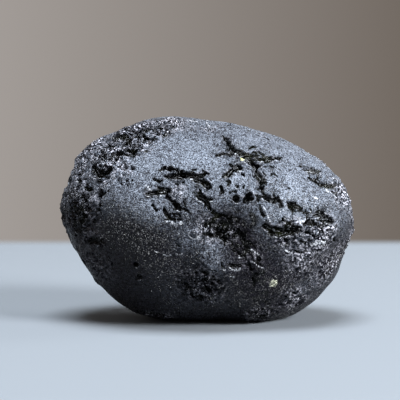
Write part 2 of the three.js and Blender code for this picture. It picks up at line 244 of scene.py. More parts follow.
def on_stone(side, places):
    """Points of the base form at places on a side."""
    return base_point(direction(side, places))


def by_side(table):
    """The rows of a table that is kept by side, each with its side in front."""
    return [(side, *row) for side, rows in table.items() for row in rows]


print("middle of the front:", np.round(on_stone("front", (0.0, 19.0))[0], 1), "mm")

# %% [markdown]
# ## Round spots
# Much on the stone is a spot that fades out: a dent, or a patch that is rougher or more frosted
# than the rest. A painted mask could hold them. A bell curve needs only a place, a radius and a
# strength, and has no edge that would show.

# %% Spots


def bell(centre, radius):
    """Share from 0 to 1 of a round spot at each point of the base form: e to the minus square of
    the distance over the radius."""
    return np.exp(-((base - centre)**2).sum(axis=1) / radius**2)


def patchwork(table):
    """The strongest of a table's spots at each point."""
    strongest = np.zeros(len(base))
    for side, a, b, radius, strength in by_side(table):
        strongest = np.maximum(strongest, strength * bell(on_stone(side, (a, b)), radius))
    return strongest


# Knobbly ends and patches: place, radius, strength
ROUGH_PATCHES = {"front": [
    (17.8, 17.6, 8.0, 1.0), (-22.5, 21.0, 6.0, 1.0), (-18.5, 30.5, 5.0, 0.7),
    (-1.0, 8.0, 4.5, 0.6), (19.0, 9.5, 4.5, 0.6), (4.0, 17.0, 4.5, 0.6),
], "left": [
    (3.0, 20.0, 8.0, 1.0),
], "right": [
    (3.0, 20.0, 8.0, 1.0),
], "back": [
    (-8.0, 10.0, 6.0, 0.8), (13.0, 28.0, 6.0, 0.7),
]}
KNOBS = 2.6           # length of the knobs, mm
WAVE_HEIGHT = 0.25    # and height of the waves

roughness = patchwork(ROUGH_PATCHES)
height = WAVE_HEIGHT * waves + roughness * noise(base, KNOBS)
print("knobbly share of the skin:", round(float((roughness > 0.3).mean()), 2))

# %% [markdown]
# ## Broad dents
# The drop's skin sagged and was bruised while it was soft, and the ground took flakes off later.
# These are forms of a few millimetres that a shadow shows from across a room. Each is one more
# round spot, taken off the height, or added to it for a swelling.

# %% Dents
# place, radius, depth. A swelling has a depth below zero.
DENTS = {"front": [
    (5.5, 18.4, 4.0, 2.1), (2.5, 20.5, 2.2, 0.35), (-6.0, 24.0, 3.6, 0.35),
    (-2.0, 17.8, 2.0, -0.45), (2.5, 14.2, 2.6, -0.45), (-23.0, 18.5, 2.4, 0.5),
    (-19.2, 27.3, 1.3, -0.35), (-25.2, 26.8, 1.0, -0.5), (-25.4, 25.2, 0.7, -0.4),
    (-25.2, 11.2, 0.8, 0.5), (-23.4, 9.9, 1.0, -0.35), (24.6, 9.4, 1.0, 0.5),
    (20.5, 17.6, 3.5, -0.3),
], "back": [
    (9.0, 22.0, 4.0, 0.8), (-10.0, 16.0, 5.0, 0.7), (-1.0, 27.0, 4.5, -0.5),
], "top": [
    (4.0, 5.0, 5.0, 0.5), (-12.0, 2.0, 4.5, -0.4),
], "left": [
    (4.0, 17.0, 4.0, 0.6),
], "right": [
    (5.0, 24.0, 4.0, 0.6),
]}

for side, a, b, radius, depth in by_side(DENTS):
    height -= depth * bell(on_stone(side, (a, b)), radius)
print("dents and knobs from", round(height.min(), 2), "to", round(height.max(), 2), "mm")

# %% [markdown]
# ## Long swells
# A brow runs across the left of the front, where its upper face turns under, and bulges and
# crescents lie below it. A row of spots would look beaded. A swell keeps one height along its path
# instead, and fades with the distance to it.

# %% Swells
# rise, reach, places
SWELLS = {"front": [
    # the brow across the left of the front, where its upper face turns under
    (0.6, 3.0, [(-24.1, 21.8), (-17.4, 21.8), (-12.0, 21.5), (-7.4, 20.7), (-3.3, 21.0)]),
    # below it in the middle: a bulge, a crescent with a knob, and a ring's last arc
    (0.9, 2.6, [(-0.8, 13.2), (4.8, 11.6)]),
    (0.5, 0.8, [(-5.0, 16.0), (-4.1, 17.6), (-2.7, 18.6), (-1.3, 18.7)]),
    (0.35, 0.8, [(-1.9, 18.3), (-1.8, 18.2)]),
    (0.35, 0.7, [(8.0, 16.4), (9.6, 15.6), (11.0, 14.4), (11.6, 12.8)]),
    (-0.5, 2.0, [(10.0, 18.0), (12.6, 14.2)]),
    # the fullness low on both ends
    (0.35, 2.5, [(-24.8, 13.5), (-22.6, 9.8), (-21.1, 7.6), (-17.8, 4.6)]),
    (0.35, 2.5, [(25.5, 11.0), (24.8, 9.0), (23.7, 7.6), (22.2, 5.4), (20.2, 3.9)]),
]}


def path_distance(points, stations):
    """Distance of each point to the nearest of the straight pieces between the stations."""
    shortest = np.full(len(points), np.inf)
    for a, b in zip(stations[:-1], stations[1:]):
        along = b - a
        t = np.clip((points - a) @ along / (along @ along), 0, 1)
        shortest = np.minimum(shortest, np.linalg.norm(points - a - t[:, None] * along, axis=1))
    return shortest


for side, rise, reach, places in by_side(SWELLS):
    height += rise * np.exp(-(path_distance(base, on_stone(side, places)) / reach)**2)
print("broad relief from", round(height.min(), 2), "to", round(height.max(), 2), "mm")

# %% [markdown]
# ## Gouges
# The gouges follow streaks of softer glass. On the front they make a star, the navel's broken ring
# and a dark middle. Each is a path over the skin, widest and deepest in its middle. They could be
# painted, but as paths they keep their width and depth in millimetres. The packed solid has the
# main ones too, on the front with fewer and plainer paths.

# %% The gouges' paths
# width, depth, places. A ridge has a depth below zero.
GOUGES = {"front": [
    # the star of gouges high on the front
    (1.5, 1.2, [(5.2, 34.8), (6.9, 32.9), (8.4, 31.7), (10.3, 30.2), (11.7, 28.8), (13.2, 28.4)]),
    (1.0, 0.9, [(7.0, 32.8), (8.2, 32.0), (9.6, 31.3), (10.6, 31.1)]),
    (1.0, 0.7, [(2.7, 31.6), (4.5, 31.8), (6.5, 31.7), (7.2, 32.0)]),
    (1.1, 0.9, [(11.9, 29.7), (13.5, 29.5), (15.3, 29.4), (17.1, 28.9)]),
    (0.9, 0.6, [(9.9, 31.4), (11.4, 30.6), (13.0, 30.1)]),
    (0.8, 0.6, [(11.8, 31.0), (13.5, 30.9), (14.2, 29.9)]),
    (1.1, 0.9, [(11.7, 28.3), (12.1, 26.4), (12.1, 25.0)]),
    (0.8, 0.6, [(12.1, 25.2), (11.9, 24.4), (11.4, 23.6)]),
    (1.0, 0.8, [(4.7, 27.5), (6.2, 28.0), (7.7, 28.8), (8.7, 29.0)]),
    (1.5, 0.9, [(7.2, 28.9), (7.9, 28.8), (8.6, 28.9)]),
    (1.0, 0.8, [(11.3, 23.1), (12.2, 22.6), (13.3, 22.1)]),
    (0.8, 0.6, [(13.5, 22.7), (14.4, 21.7)]),
    (1.5, 1.2, [(10.6, 19.1), (11.7, 18.6), (13.0, 18.2), (14.8, 18.2), (16.7, 18.7)]),
    # the navel ring
    (1.3, 1.0, [(-9.3, 27.0), (-6.8, 27.3), (-4.4, 27.9), (-1.8, 27.7)]),
    (0.8, 0.6, [(-10.5, 27.6), (-8.8, 28.5), (-6.8, 28.0)]),
    (0.8, 0.7, [(-2.1, 27.8), (-0.6, 28.0), (0.9, 28.0)]),
    (1.2, 0.9, [(-3.3, 27.2), (-1.4, 26.9), (0.1, 26.4), (1.3, 25.5)]),
    (1.2, 0.8, [(-11.7, 23.4), (-10.4, 23.7), (-9.2, 24.0), (-8.0, 24.6)]),
    (1.4, 1.0, [(-2.1, 24.6), (-0.9, 24.2), (0.2, 23.6)]),
    (0.9, 0.7, [(0.0, 23.7), (0.9, 22.9), (1.5, 21.9)]),
    (0.8, 0.6, [(-8.2, 23.6), (-7.6, 23.1), (-7.0, 22.6)]),
    (1.0, 0.7, [(-7.1, 22.9), (-6.3, 22.3), (-4.9, 21.6)]),
    (0.8, 0.5, [(-7.9, 21.3), (-7.1, 20.7), (-6.1, 20.1), (-4.1, 19.8)]),
    # the dark middle, low on the front
    (0.8, 0.5, [(-0.1, 19.2), (1.2, 20.0), (2.4, 20.3)]),
    (0.7, 0.45, [(1.8, 20.7), (3.3, 20.6), (4.9, 19.9)]),
    (0.6, 0.4, [(0.9, 19.0), (2.3, 19.4), (3.6, 19.3), (5.0, 18.9)]),
    (0.9, 0.5, [(-0.4, 17.8), (1.6, 17.8), (3.2, 17.9)]),
    (1.1, 0.5, [(6.0, 18.7), (7.0, 17.6), (8.1, 16.4), (9.0, 15.1)]),
    (0.8, 0.5, [(5.6, 13.3), (6.7, 12.8), (7.9, 13.2)]),
    # the rough right side of the front
    (1.3, 1.0, [(19.8, 20.1), (20.7, 20.3), (21.8, 19.9)]),
    (1.0, 0.8, [(20.4, 19.5), (21.8, 19.3), (23.1, 19.1)]),
    (0.9, 0.7, [(17.3, 18.9), (18.4, 19.3), (19.7, 19.3)]),
    (1.0, 0.7, [(15.6, 21.8), (16.6, 21.5), (17.6, 21.2)]),
    (1.0, 0.8, [(20.4, 27.3), (21.4, 26.5), (22.4, 25.9), (23.5, 26.1)]),
    (0.9, 0.6, [(21.2, 24.8), (22.0, 24.2), (23.6, 23.6), (25.3, 23.7)]),
    (0.9, -0.3, [(17.0, 19.8), (18.6, 20.3), (19.4, 20.9)]),
    # the pitted shoulder and the left end of the front
    (1.0, 0.8, [(-15.7, 32.8), (-14.9, 33.6), (-13.0, 34.5), (-12.3, 34.8)]),
    (1.1, 0.8, [(-19.6, 30.6), (-18.3, 31.6), (-16.3, 31.3)]),
    (1.1, 0.9, [(-18.9, 27.8), (-18.2, 28.6), (-17.2, 29.1)]),
    (0.9, 0.8, [(-17.0, 29.6), (-15.9, 29.8), (-15.0, 30.5)]),
    (1.5, 1.1, [(-21.9, 26.4), (-21.4, 25.7), (-20.6, 25.4), (-19.5, 25.6), (-18.2, 26.6)]),
    (0.8, 0.6, [(-14.8, 32.8), (-13.6, 32.7), (-12.1, 32.7)]),
    (0.8, 0.6, [(-20.9, 28.9), (-20.3, 29.7), (-19.3, 29.7)]),
    (0.8, 0.6, [(-22.6, 23.7), (-21.8, 23.3), (-20.9, 23.6)]),
    (0.8, 0.6, [(-24.6, 21.1), (-23.3, 20.7), (-22.1, 21.1)]),
    (0.9, 0.5, [(-22.0, 21.0), (-22.7, 19.8), (-23.0, 18.8), (-24.1, 16.7)]),
    (1.3, 0.5, [(-22.9, 16.4), (-21.0, 16.7), (-19.0, 16.7)]),
    (0.8, -0.3, [(-21.3, 19.2), (-19.7, 20.5), (-19.1, 21.2)]),
], "back": [
    (1.3, 1.0, [(-16.0, 25.5), (-13.5, 27.5), (-12.5, 29.5), (-10.0, 30.5)]),
    (0.9, 0.7, [(-13.5, 27.5), (-11.0, 26.5), (-9.5, 27.5)]),
    (1.1, 0.9, [(-6.0, 28.5), (-4.0, 29.0), (-2.5, 27.5), (-3.0, 25.5)]),
    (1.2, 0.9, [(5.0, 21.0), (5.5, 24.5), (8.0, 26.2)]),
    (1.0, 0.8, [(10.5, 26.0), (12.8, 24.0), (12.5, 21.5)]),
    (0.9, 0.6, [(7.0, 18.6), (9.0, 18.0), (11.0, 18.6)]),
    (1.1, 0.8, [(8.2, 23.4), (9.4, 22.4), (9.2, 21.0)]),
    (1.2, 0.9, [(-1.0, 11.5), (2.0, 10.5), (4.5, 8.5), (8.0, 9.0), (10.0, 8.0)]),
    (1.1, 0.8, [(-12.0, 18.5), (-9.5, 16.5), (-8.5, 14.0)]),
    (1.0, 0.7, [(-20.0, 17.0), (-19.0, 14.5), (-16.5, 13.0)]),
    (1.0, 0.8, [(15.5, 30.5), (17.0, 29.5), (18.0, 27.0), (20.5, 26.5)]),
    (1.1, 0.8, [(16.5, 15.0), (19.0, 15.5), (21.0, 14.0)]),
], "top": [
    (1.1, 0.8, [(-13.0, 3.0), (-10.0, 5.5), (-7.5, 5.0), (-5.0, 6.5)]),
    (1.2, 0.9, [(5.0, 1.5), (8.0, 3.5), (10.5, 3.0), (13.5, 5.0)]),
    (0.9, 0.6, [(8.0, 3.5), (8.5, 6.5), (7.5, 8.5)]),
], "under": [
    (1.2, 0.8, [(-16.0, -4.0), (-13.5, -7.0), (-10.0, -7.5)]),
    (1.1, 0.8, [(-12.0, 8.0), (-8.5, 8.5), (-6.0, 10.5), (-2.0, 9.5)]),
    (1.1, 0.7, [(16.0, 7.0), (17.5, 3.5), (19.5, 2.0)]),
], "left": [
    (1.2, 0.9, [(-6.0, 21.5), (-3.5, 24.0), (-0.5, 23.5), (2.0, 26.0)]),
    (1.1, 0.8, [(0.5, 12.5), (3.0, 14.0), (6.5, 13.5), (8.5, 16.0)]),
], "right": [
    (1.2, 0.9, [(-5.0, 16.5), (-2.0, 14.5), (1.0, 15.0), (4.0, 13.5)]),
    (1.1, 0.8, [(-1.5, 21.5), (1.0, 24.0), (4.5, 23.5), (7.0, 25.5)]),
    (0.9, 0.6, [(-3.0, 28.0), (0.0, 29.5), (3.0, 28.5)]),
]}
print("gouges and ridges on the", {side: len(rows) for side, rows in GOUGES.items()})

# %% [markdown]
# ## Finer marks
# Between the gouges are many short nicks, too small for the packed solid. They are what makes the
# surface look bitten and not modelled, so those of the front are placed one by one.

# %% Nicks of the front
# width, depth, places
FINE_MARKS = {"front": [
    # round the star
    (0.5, 0.4, [(11.1, 31.9), (12.2, 32.3), (13.2, 32.0)]),
    (0.6, 0.4, [(13.6, 28.1), (14.5, 28.1), (15.5, 27.8)]),
    (0.5, 0.35, [(13.2, 27.2), (12.9, 25.8), (12.6, 24.4)]),
    (0.5, 0.4, [(4.6, 35.4), (5.4, 34.6)]),
    (0.5, 0.35, [(14.2, 26.3), (14.9, 26.7), (15.3, 26.0)]),
    (0.55, 0.4, [(10.5, 23.4), (10.4, 21.9), (10.6, 20.4), (11.2, 19.4)]),
    (0.5, 0.4, [(6.8, 26.0), (7.5, 25.3)]), (0.6, 0.4, [(5.3, 26.9), (5.9, 26.3), (5.4, 25.8)]),
    (0.7, 0.45, [(3.9, 26.0), (4.3, 25.3), (4.0, 24.7)]), (0.5, 0.4, [(6.2, 25.0), (7.3, 24.4)]),
    (0.5, 0.3, [(9.1, 25.6), (8.7, 24.9)]), (0.5, 0.35, [(9.0, 27.7), (9.6, 26.9)]),
    # in and round the navel
    (0.5, 0.4, [(-5.2, 28.8), (-3.8, 29.0), (-2.0, 29.0)]),
    (0.5, 0.35, [(-6.9, 28.2), (-4.7, 28.5), (-2.8, 28.6)]),
    (0.5, 0.4, [(-2.6, 25.7), (-1.4, 26.1)]),
    (0.6, 0.45, [(-11.7, 26.1), (-10.5, 25.9), (-9.4, 26.1)]),
    (0.35, 0.25, [(-12.2, 24.0), (-12.0, 24.6), (-11.2, 24.9)]),
    (0.5, 0.4, [(-4.9, 22.9), (-4.3, 22.2)]), (0.6, 0.5, [(-0.1, 24.0), (2.0, 23.8)]),
    (0.6, 0.4, [(-10.1, 21.9), (-9.0, 21.0)]),
    (0.5, 0.35, [(-10.2, 25.2), (-9.5, 24.6), (-8.9, 24.9)]),
    (0.4, 0.3, [(-7.5, 25.4), (-6.3, 26.0)]),
    (0.35, 0.2, [(-6.4, 26.6), (-5.3, 26.5), (-5.1, 25.8)]),
    (0.4, 0.3, [(-6.3, 23.5), (-5.4, 23.0)]),
    # low on the front
    (0.6, 0.4, [(1.5, 19.0), (2.9, 19.2), (4.5, 19.0)]),
    (0.6, 0.4, [(3.3, 17.2), (4.4, 16.8), (4.4, 16.1)]), (0.5, 0.4, [(5.6, 16.9), (6.2, 15.8)]),
    (0.5, 0.35, [(6.7, 15.5), (7.9, 14.5), (7.8, 13.8)]),
    (0.25, 0.12, [(-2.7, 18.7), (-2.6, 18.0), (-2.2, 17.5), (-1.7, 17.6)]),
    (0.35, 0.2, [(-6.2, 16.5), (-5.0, 16.4)]), (0.45, 0.3, [(1.4, 12.1), (2.7, 11.8)]),
    (0.45, 0.3, [(3.8, 13.4), (4.0, 12.7), (4.7, 12.2)]),
    (0.35, 0.25, [(6.5, 11.0), (7.5, 11.2)]),
    (0.45, 0.3, [(8.2, 16.7), (9.2, 16.3), (10.2, 15.7)]),
    (0.45, 0.3, [(9.5, 14.4), (10.7, 13.8), (11.9, 13.2)]),
    (0.6, 0.4, [(11.1, 12.1), (10.7, 10.9), (11.0, 9.6)]),
    # right side
    (0.6, 0.5, [(13.7, 19.9), (14.4, 19.3), (15.1, 19.5)]),
    (0.6, 0.5, [(20.1, 19.0), (20.8, 18.4), (20.5, 17.9)]),
    (0.5, 0.4, [(15.8, 21.1), (16.6, 20.6)]),
    (0.6, 0.4, [(17.0, 17.2), (18.2, 16.7), (19.2, 17.0)]),
    (0.6, 0.4, [(14.0, 17.5), (15.2, 17.0), (15.2, 16.3)]),
    (0.6, 0.4, [(17.9, 18.2), (19.2, 17.8), (20.6, 17.3)]),
    (0.5, 0.4, [(22.5, 17.4), (23.8, 16.6)]),
    (0.6, 0.4, [(16.6, 15.9), (18.0, 15.4), (19.0, 15.8)]),
    (0.5, 0.4, [(23.2, 23.5), (24.3, 23.7), (25.3, 23.7)]),
    (0.45, 0.3, [(23.5, 23.4), (23.8, 22.8), (24.4, 22.2)]),
    (0.5, 0.4, [(17.3, 9.2), (18.4, 9.8)]),
    # the shoulder and the left end
    (0.7, 0.5, [(-21.2, 27.7), (-20.4, 28.1), (-19.6, 27.6)]),
    (0.7, 0.5, [(-23.1, 22.4), (-22.1, 22.0), (-21.2, 22.3)]),
    (0.6, 0.5, [(-19.6, 23.4), (-18.5, 22.9), (-17.8, 23.5)]),
    (0.7, 0.5, [(-24.3, 24.4), (-23.4, 23.9), (-23.7, 23.3)]),
]}
print(len(by_side(FINE_MARKS)), "nicks")

# %% [markdown]
# ## Round pits
# Gas bubbles froze in the glass, and etching opened those that lay under the skin. A pit is a bowl
# about as deep as it is wide. It needs no path, only a place, a radius and a depth.

# %% Pits
# place, radius, depth
PITS = {"front": [
    (9.3, 23.2, 0.78, 0.9), (6.9, 23.3, 0.65, 0.7), (16.1, 21.4, 0.7, 0.7), (21.6, 24.7, 0.6, 0.5),
    (-10.1, 34.0, 0.55, 0.5), (-19.2, 22.8, 0.6, 0.5), (-14.1, 13.4, 0.5, 0.5),
    (-14.2, 11.2, 0.65, 0.6),
], "back": [
    (0.0, 31.5, 0.9, 0.8), (4.0, 14.0, 0.8, 0.7), (-9.0, 12.0, 1.0, 0.8), (18.0, 19.5, 0.9, 0.7),
    (-19.0, 24.0, 0.8, 0.7), (0.0, 22.5, 0.7, 0.6),
], "top": [
    (-3.0, -1.0, 0.8, 0.6), (15.0, -4.0, 0.7, 0.6),
], "under": [
    (13.0, -8.0, 0.8, 0.6), (-16.0, 1.0, 0.9, 0.7),
], "left": [
    (2.0, 19.0, 1.0, 0.8), (-8.0, 18.0, 0.7, 0.6),
], "right": [
    (3.0, 19.5, 1.0, 0.8), (8.0, 12.0, 0.8, 0.7),
]}
# and those too small for the packed solid
FINE_PITS = {"front": [
    (7.5, 25.4, 0.4, 0.4), (5.9, 24.6, 0.35, 0.3), (4.1, 25.9, 0.4, 0.4), (4.5, 24.9, 0.3, 0.3),
    (-4.4, 25.9, 0.28, 0.25), (-3.0, 24.9, 0.28, 0.3), (14.9, 25.2, 0.28, 0.3),
    (16.5, 23.9, 0.33, 0.35), (17.6, 21.2, 0.35, 0.4), (21.2, 25.6, 0.4, 0.4),
    (-13.3, 31.9, 0.45, 0.4), (-13.8, 30.3, 0.45, 0.4), (-11.9, 32.9, 0.33, 0.3),
    (-8.2, 35.6, 0.55, 0.5), (-17.0, 25.0, 0.28, 0.3), (-16.3, 25.5, 0.28, 0.3),
    (-15.6, 25.0, 0.28, 0.3), (-16.3, 24.4, 0.28, 0.3), (-15.2, 24.3, 0.28, 0.3),
    (-14.8, 25.1, 0.28, 0.3), (13.8, 6.6, 0.4, 0.4), (-1.9, 37.2, 0.4, 0.4),
    (0.8, 37.8, 0.4, 0.4), (20.1, 18.0, 0.3, 0.3),
]}
print(len(by_side(PITS)), "pits and", len(by_side(FINE_PITS)), "small ones")

# %% [markdown]
# ## Chipped rims
# Glass breaks with sharp rims, and where a flake came off, one catches the light as a thin bright
# line. Bevelled edges would need the flakes as faces of their own. A thin raised path is enough at
# this size, and the finish paints the bright line on it as a highlight.

# %% Rims
# width, places
CHIPPED_RIMS = {"front": [
    (0.6, [(-6.9, 16.0), (-6.1, 15.8)]),
    (0.55, [(-9.9, 15.8), (-9.0, 15.4), (-8.2, 15.1), (-7.2, 14.9), (-6.1, 14.8), (-5.4, 15.0)]),
    (0.45, [(5.7, 12.7), (6.4, 12.3), (7.1, 12.3), (7.9, 12.7)]), (0.5, [(3.8, 13.2), (4.5, 12.1)]),
    (0.7, [(1.5, 12.2), (2.4, 11.9)]),
    (0.4, [(8.6, 15.7), (9.5, 15.6), (10.7, 15.0)]),
    (0.4, [(9.2, 14.0), (9.9, 14.0), (11.1, 13.2), (11.8, 12.9)]),
    (0.4, [(5.6, 14.8), (6.3, 13.9), (6.9, 14.1), (7.7, 14.2)]),
    (0.5, [(5.9, 11.2), (7.5, 11.1)]), (0.6, [(-6.2, 19.5), (-5.0, 19.2), (-3.8, 19.5)]),
    (0.6, [(-3.0, 18.5), (-2.9, 17.8), (-2.5, 17.2), (-1.9, 17.3), (-1.3, 17.8)]),
    (0.5, [(22.9, 23.2), (23.5, 22.5), (24.1, 22.1)]), (0.5, [(19.9, 22.5), (20.7, 22.0)]),
    (0.45, [(11.0, 23.0), (11.0, 21.8), (11.2, 20.5), (11.8, 19.5)]),
    (0.5, [(17.1, 21.1), (17.7, 20.6)]), (0.9, [(16.7, 19.4), (17.9, 19.6), (18.6, 20.0)]),
    (1.0, [(19.5, 16.4), (20.4, 16.8), (21.4, 16.6)]), (0.5, [(15.0, 15.9), (16.2, 15.3)]),
    (0.5, [(-12.1, 24.6), (-10.7, 24.0), (-9.3, 23.8)]), (0.5, [(-8.6, 20.7), (-7.0, 19.8)]),
    (0.9, [(-4.0, 37.4), (-2.2, 37.5)]), (0.5, [(0.3, 37.9), (1.3, 36.7)]),
]}
print(len(by_side(CHIPPED_RIMS)), "chipped rims")

# %% [markdown]
# ## Ragged rims
# Etching eats the glass unevenly, so no rim runs smooth. Each path could be given a jagged line of
# its own. It is simpler to shift the points a little to and fro before their distance to any path
# is taken: then every rim wanders, and neighbouring marks agree.

# %% Wandering points
WANDER = 0.28         # how far the rims wander, mm
RAGGED = 1.1          # length of their waves, mm
UNEVEN = 0.5          # how much deeper or shallower a gouge's floor gets, as a share

shifts = [layered(base + offset, RAGGED, 3) for offset in (0.0, 31.0, 67.0)]
wandering = base + WANDER * np.stack(shifts, axis=1)
unevenness = 1 + UNEVEN * noise(base, RAGGED)
print("rims wander by up to", round(float(np.abs(wandering - base).max()), 2), "mm")

# %% [markdown]
# ## Cutting a hollow
# A sweep cut out with a boolean would leave slivers in so fine a mesh. The depth is worked out from
# each point's distance to the path instead. What the finish needs to know later, such as how far
# down a hollow a point lies, is noted on the way.

# %% The cutting tool
REACH = 4.0           # half widths from a path to where it is worked out
LIP_PLACE = 1.15      # half widths from the path to the lip
LIP_WIDTH = 0.16
GNAWED_REACH = 2.2    # half widths over which the skin beside a gouge is gnawed
DEEPEN = 1.2          # how much deeper than its given depth a gouge is cut
DARK_FROM = 0.4       # depth from which a hollow is wholly dark, mm
LIP_FROM = 0.6        # depth from which its lip is full
GNAWED_FROM = 0.8     # and depth from which the skin beside it is

cut = np.zeros(len(base))        # depth cut away so far, mm
hollow = np.zeros(len(base))     # share of the way down into a hollow
lip = np.zeros(len(base))        # nearness to a lip, which the finish gives a painted highlight
gnawed = np.zeros(len(base))     # nearness to the deeper gouges
nearest = np.full(len(base), np.inf)
across = np.zeros(len(base))     # place across the nearest gouge, in half widths


def ratio_to_path(points, stations, halves, outward):
    """Distance of each point to the path, over the half width there, with the same offset's parts
    across the path and upwards. The nearest straight piece counts."""
    ratio = np.full(len(points), np.inf)
    sideways = np.zeros(len(points))
    upwards = np.zeros(len(points))
    for a, b, half_a, half_b in zip(stations[:-1], stations[1:], halves[:-1], halves[1:]):
        along = b - a
        t = np.clip((points - a) @ along / max(along @ along, 1e-9), 0, 1)
        offset = (points - a - t[:, None] * along) / (half_a + (half_b - half_a) * t)[:, None]
        here = np.linalg.norm(offset, axis=1)
        aside = np.cross(along, outward)
        aside /= max(np.linalg.norm(aside), 1e-9)
        sideways = np.where(here < ratio, offset @ aside, sideways)
        upwards = np.where(here < ratio, offset[:, 2], upwards)
        ratio = np.minimum(ratio, here)
    return ratio, sideways, upwards


def carve(stations, halves, depth):
    """Cuts a hollow along its stations: at r half widths from the path, it goes down by DEEPEN
    times the given depth times the root of 1 - r^2. A lip stands just outside, mostly below, where
    it faces up into the light, and the finish paints a highlight on it."""
    centre = stations.mean(axis=0)
    span = np.linalg.norm(stations - centre, axis=1).max() + REACH * halves.max()
    near = np.flatnonzero(((wandering - centre)**2).sum(axis=1) < span**2)
    ratio, sideways, upwards = ratio_to_path(
        wandering[near], stations, halves, (centre - MIDDLE) / OVOID**2)
    bowl = np.sqrt(np.clip(1 - ratio**2, 0, 1))
    here = DEEPEN * depth * bowl * unevenness[near]
    cut[near] = np.where(np.abs(here) > np.abs(cut[near]), here, cut[near])
    across[near] = np.where(ratio < nearest[near], sideways, across[near])
    nearest[near] = np.minimum(nearest[near], ratio)
    if depth > 0:
        # lips mostly below a gouge, facing up into the light, which carry the painted highlight
        below = np.clip(0.3 - 0.7 * upwards, 0, 1)
        rim = np.exp(-((ratio - LIP_PLACE) / LIP_WIDTH)**2) * min(1, depth / LIP_FROM)
        beside = np.exp(-(ratio / GNAWED_REACH)**2) * min(1, depth / GNAWED_FROM)
        hollow[near] = np.maximum(hollow[near], bowl * min(1, depth / DARK_FROM))
        lip[near] = np.maximum(lip[near], below * rim)
        gnawed[near] = np.maximum(gnawed[near], beside)


print("a path is worked out to", REACH, "half widths on each side")

# %% [markdown]
# ## Gouges and pits
# A gouge on the real stone starts and ends thin, like a worm's track. Straight pieces between its
# places would show as corners, so a smooth curve runs through them. A pit is a gouge of no length.

# %% Cutting gouges and pits
BLUNT_END = 0.3       # width at the ends of a gouge, as a share of its middle


def smooth_path(places, steps):
    """Points along the curve through the places, with a straight start and end."""
    places = np.asarray(places, float)
    padded = np.vstack([2 * places[0] - places[1], places, 2 * places[-1] - places[-2]])
    t = np.linspace(0, len(places) - 1, steps)
    i = np.minimum(t.astype(int), len(places) - 2)
    return between(*(padded[i + k] for k in range(4)), (t - i)[:, None])


def carve_gouge(side, width, depth, places):
    """A gouge: its half width is full in the middle and narrows as the root of 4t(1 - t)."""
    t = np.linspace(0, 1, 4 * len(places))
    stations = on_stone(side, smooth_path(places, len(t)))
    fullness = BLUNT_END + (1 - BLUNT_END) * np.sqrt(4 * t * (1 - t))
    carve(stations, 0.5 * width * fullness, depth)


def carve_pit(side, first, second, radius, depth):
    """A round pit: a gouge of no length."""
    centre = on_stone(side, (first, second))
    carve(np.vstack([centre, centre]), np.array([radius, radius]), depth)


for gouge in by_side(GOUGES) + by_side(FINE_MARKS):
    carve_gouge(*gouge)
for pit in by_side(PITS) + by_side(FINE_PITS):
    carve_pit(*pit)
print("deepest cut", round(cut.max(), 2), "mm, highest ridge", round(-cut.min(), 2), "mm")

# %% [markdown]
# ## Barbs
# A big gouge is never alone: small strokes leave it at a slant, as the barbs of a feather do. To
# place them one by one would take hundreds of numbers that nobody would check. A generator with a
# fixed seed strews them, so they are the same each time.

# %% Barbs along the gouges
BARB_SLANT = (0.3, 0.9)       # radians to the gouge, to either side
BARB_LENGTH = (0.03, 0.11)    # over the ball of directions
BARB_WIDTH = (0.25, 0.6)      # mm
STROKE_DEPTH = 0.7            # depth of a stroke, as a share of its width
STROKE_END = 0.4              # width at its ends, as a share of its middle

random = np.random.default_rng(7)


def carve_stroke(start, heading, length, bend, width):
    """A short stroke over the ball of directions, from a start along a heading, with a bend."""
    t = np.linspace(-0.5, 0.5, 8)[:, None]
    path = start + length * (t * heading + bend * t**2 * np.cross(start, heading))
    path /= np.linalg.norm(path, axis=1, keepdims=True)
    fullness = STROKE_END + (1 - STROKE_END) * np.sqrt(np.clip(1 - 4 * t[:, 0]**2, 0, 1))
    carve(base_point(path), 0.5 * width * fullness, STROKE_DEPTH * width)


def carve_barbs(side, places):
    """Small strokes at a slant to a gouge, to either side of it."""
    ends = direction(side, [places[0], places[-1]])
    along = ends[1] - ends[0]
    for place in smooth_path(places, 5 + len(places))[1:-1]:
        start = direction(side, place)[0]
        slant = random.uniform(*BARB_SLANT) * random.choice((-1, 1))
        heading = math.cos(slant) * along + math.sin(slant) * np.cross(start, along)
        heading -= heading @ start * start
        heading /= np.linalg.norm(heading)
        length = random.uniform(*BARB_LENGTH)
        offset = random.uniform(-0.5, 0.5) * length * heading
        bend, width = random.uniform(-1, 1), random.uniform(*BARB_WIDTH)
        carve_stroke(start + offset, heading, length, bend, width)


for side, _, _, places in by_side(GOUGES):
    carve_barbs(side, places)
print("hollow share of the skin:", round(float((hollow > 0.3).mean()), 3))

# %% [markdown]
# ## Strokes all over
# Every side of the real stone has short curved strokes like the front's. They are scattered by the
# same generator over the sides that the lists above leave bare.

# %% Scattered strokes
STROKES = 150
STROKE_LENGTH = (0.04, 0.13)    # over the ball of directions
STROKE_WIDTH = (0.35, 0.75)     # mm
STROKE_BEND = 1.2
FRONT_EDGE = -0.35      # directions with a lower y look to the front

carved = 0
for start in random.normal(size=(STROKES, 3)):
    start /= np.linalg.norm(start)
    heading = np.cross(start, random.normal(size=3))
    heading /= np.linalg.norm(heading)
    length, width = random.uniform(*STROKE_LENGTH), random.uniform(*STROKE_WIDTH)
    if start[1] > FRONT_EDGE:
        carve_stroke(start, heading, length, random.uniform(-STROKE_BEND, STROKE_BEND), width)
        carved += 1
print(carved, "strokes scattered")

# %% [markdown]
# ## Raising the rims
# The chipped rims join the lips of the gouges in one value. It raises the skin a little here, and
# makes the finish pale there later, as a painted highlight.

# %% Rims raised
CHIP_RISE = 1.2       # height of a chipped rim, in lips
CHIP_SHARPNESS = 2.6  # how steeply it falls off to both sides

for side, width, places in by_side(CHIPPED_RIMS):
    distance = path_distance(wandering, on_stone(side, places))
    lip = np.maximum(lip, CHIP_RISE * np.exp(-(CHIP_SHARPNESS * distance / width)**2))
print("points on a rim:", int((lip > 0.5).sum()))

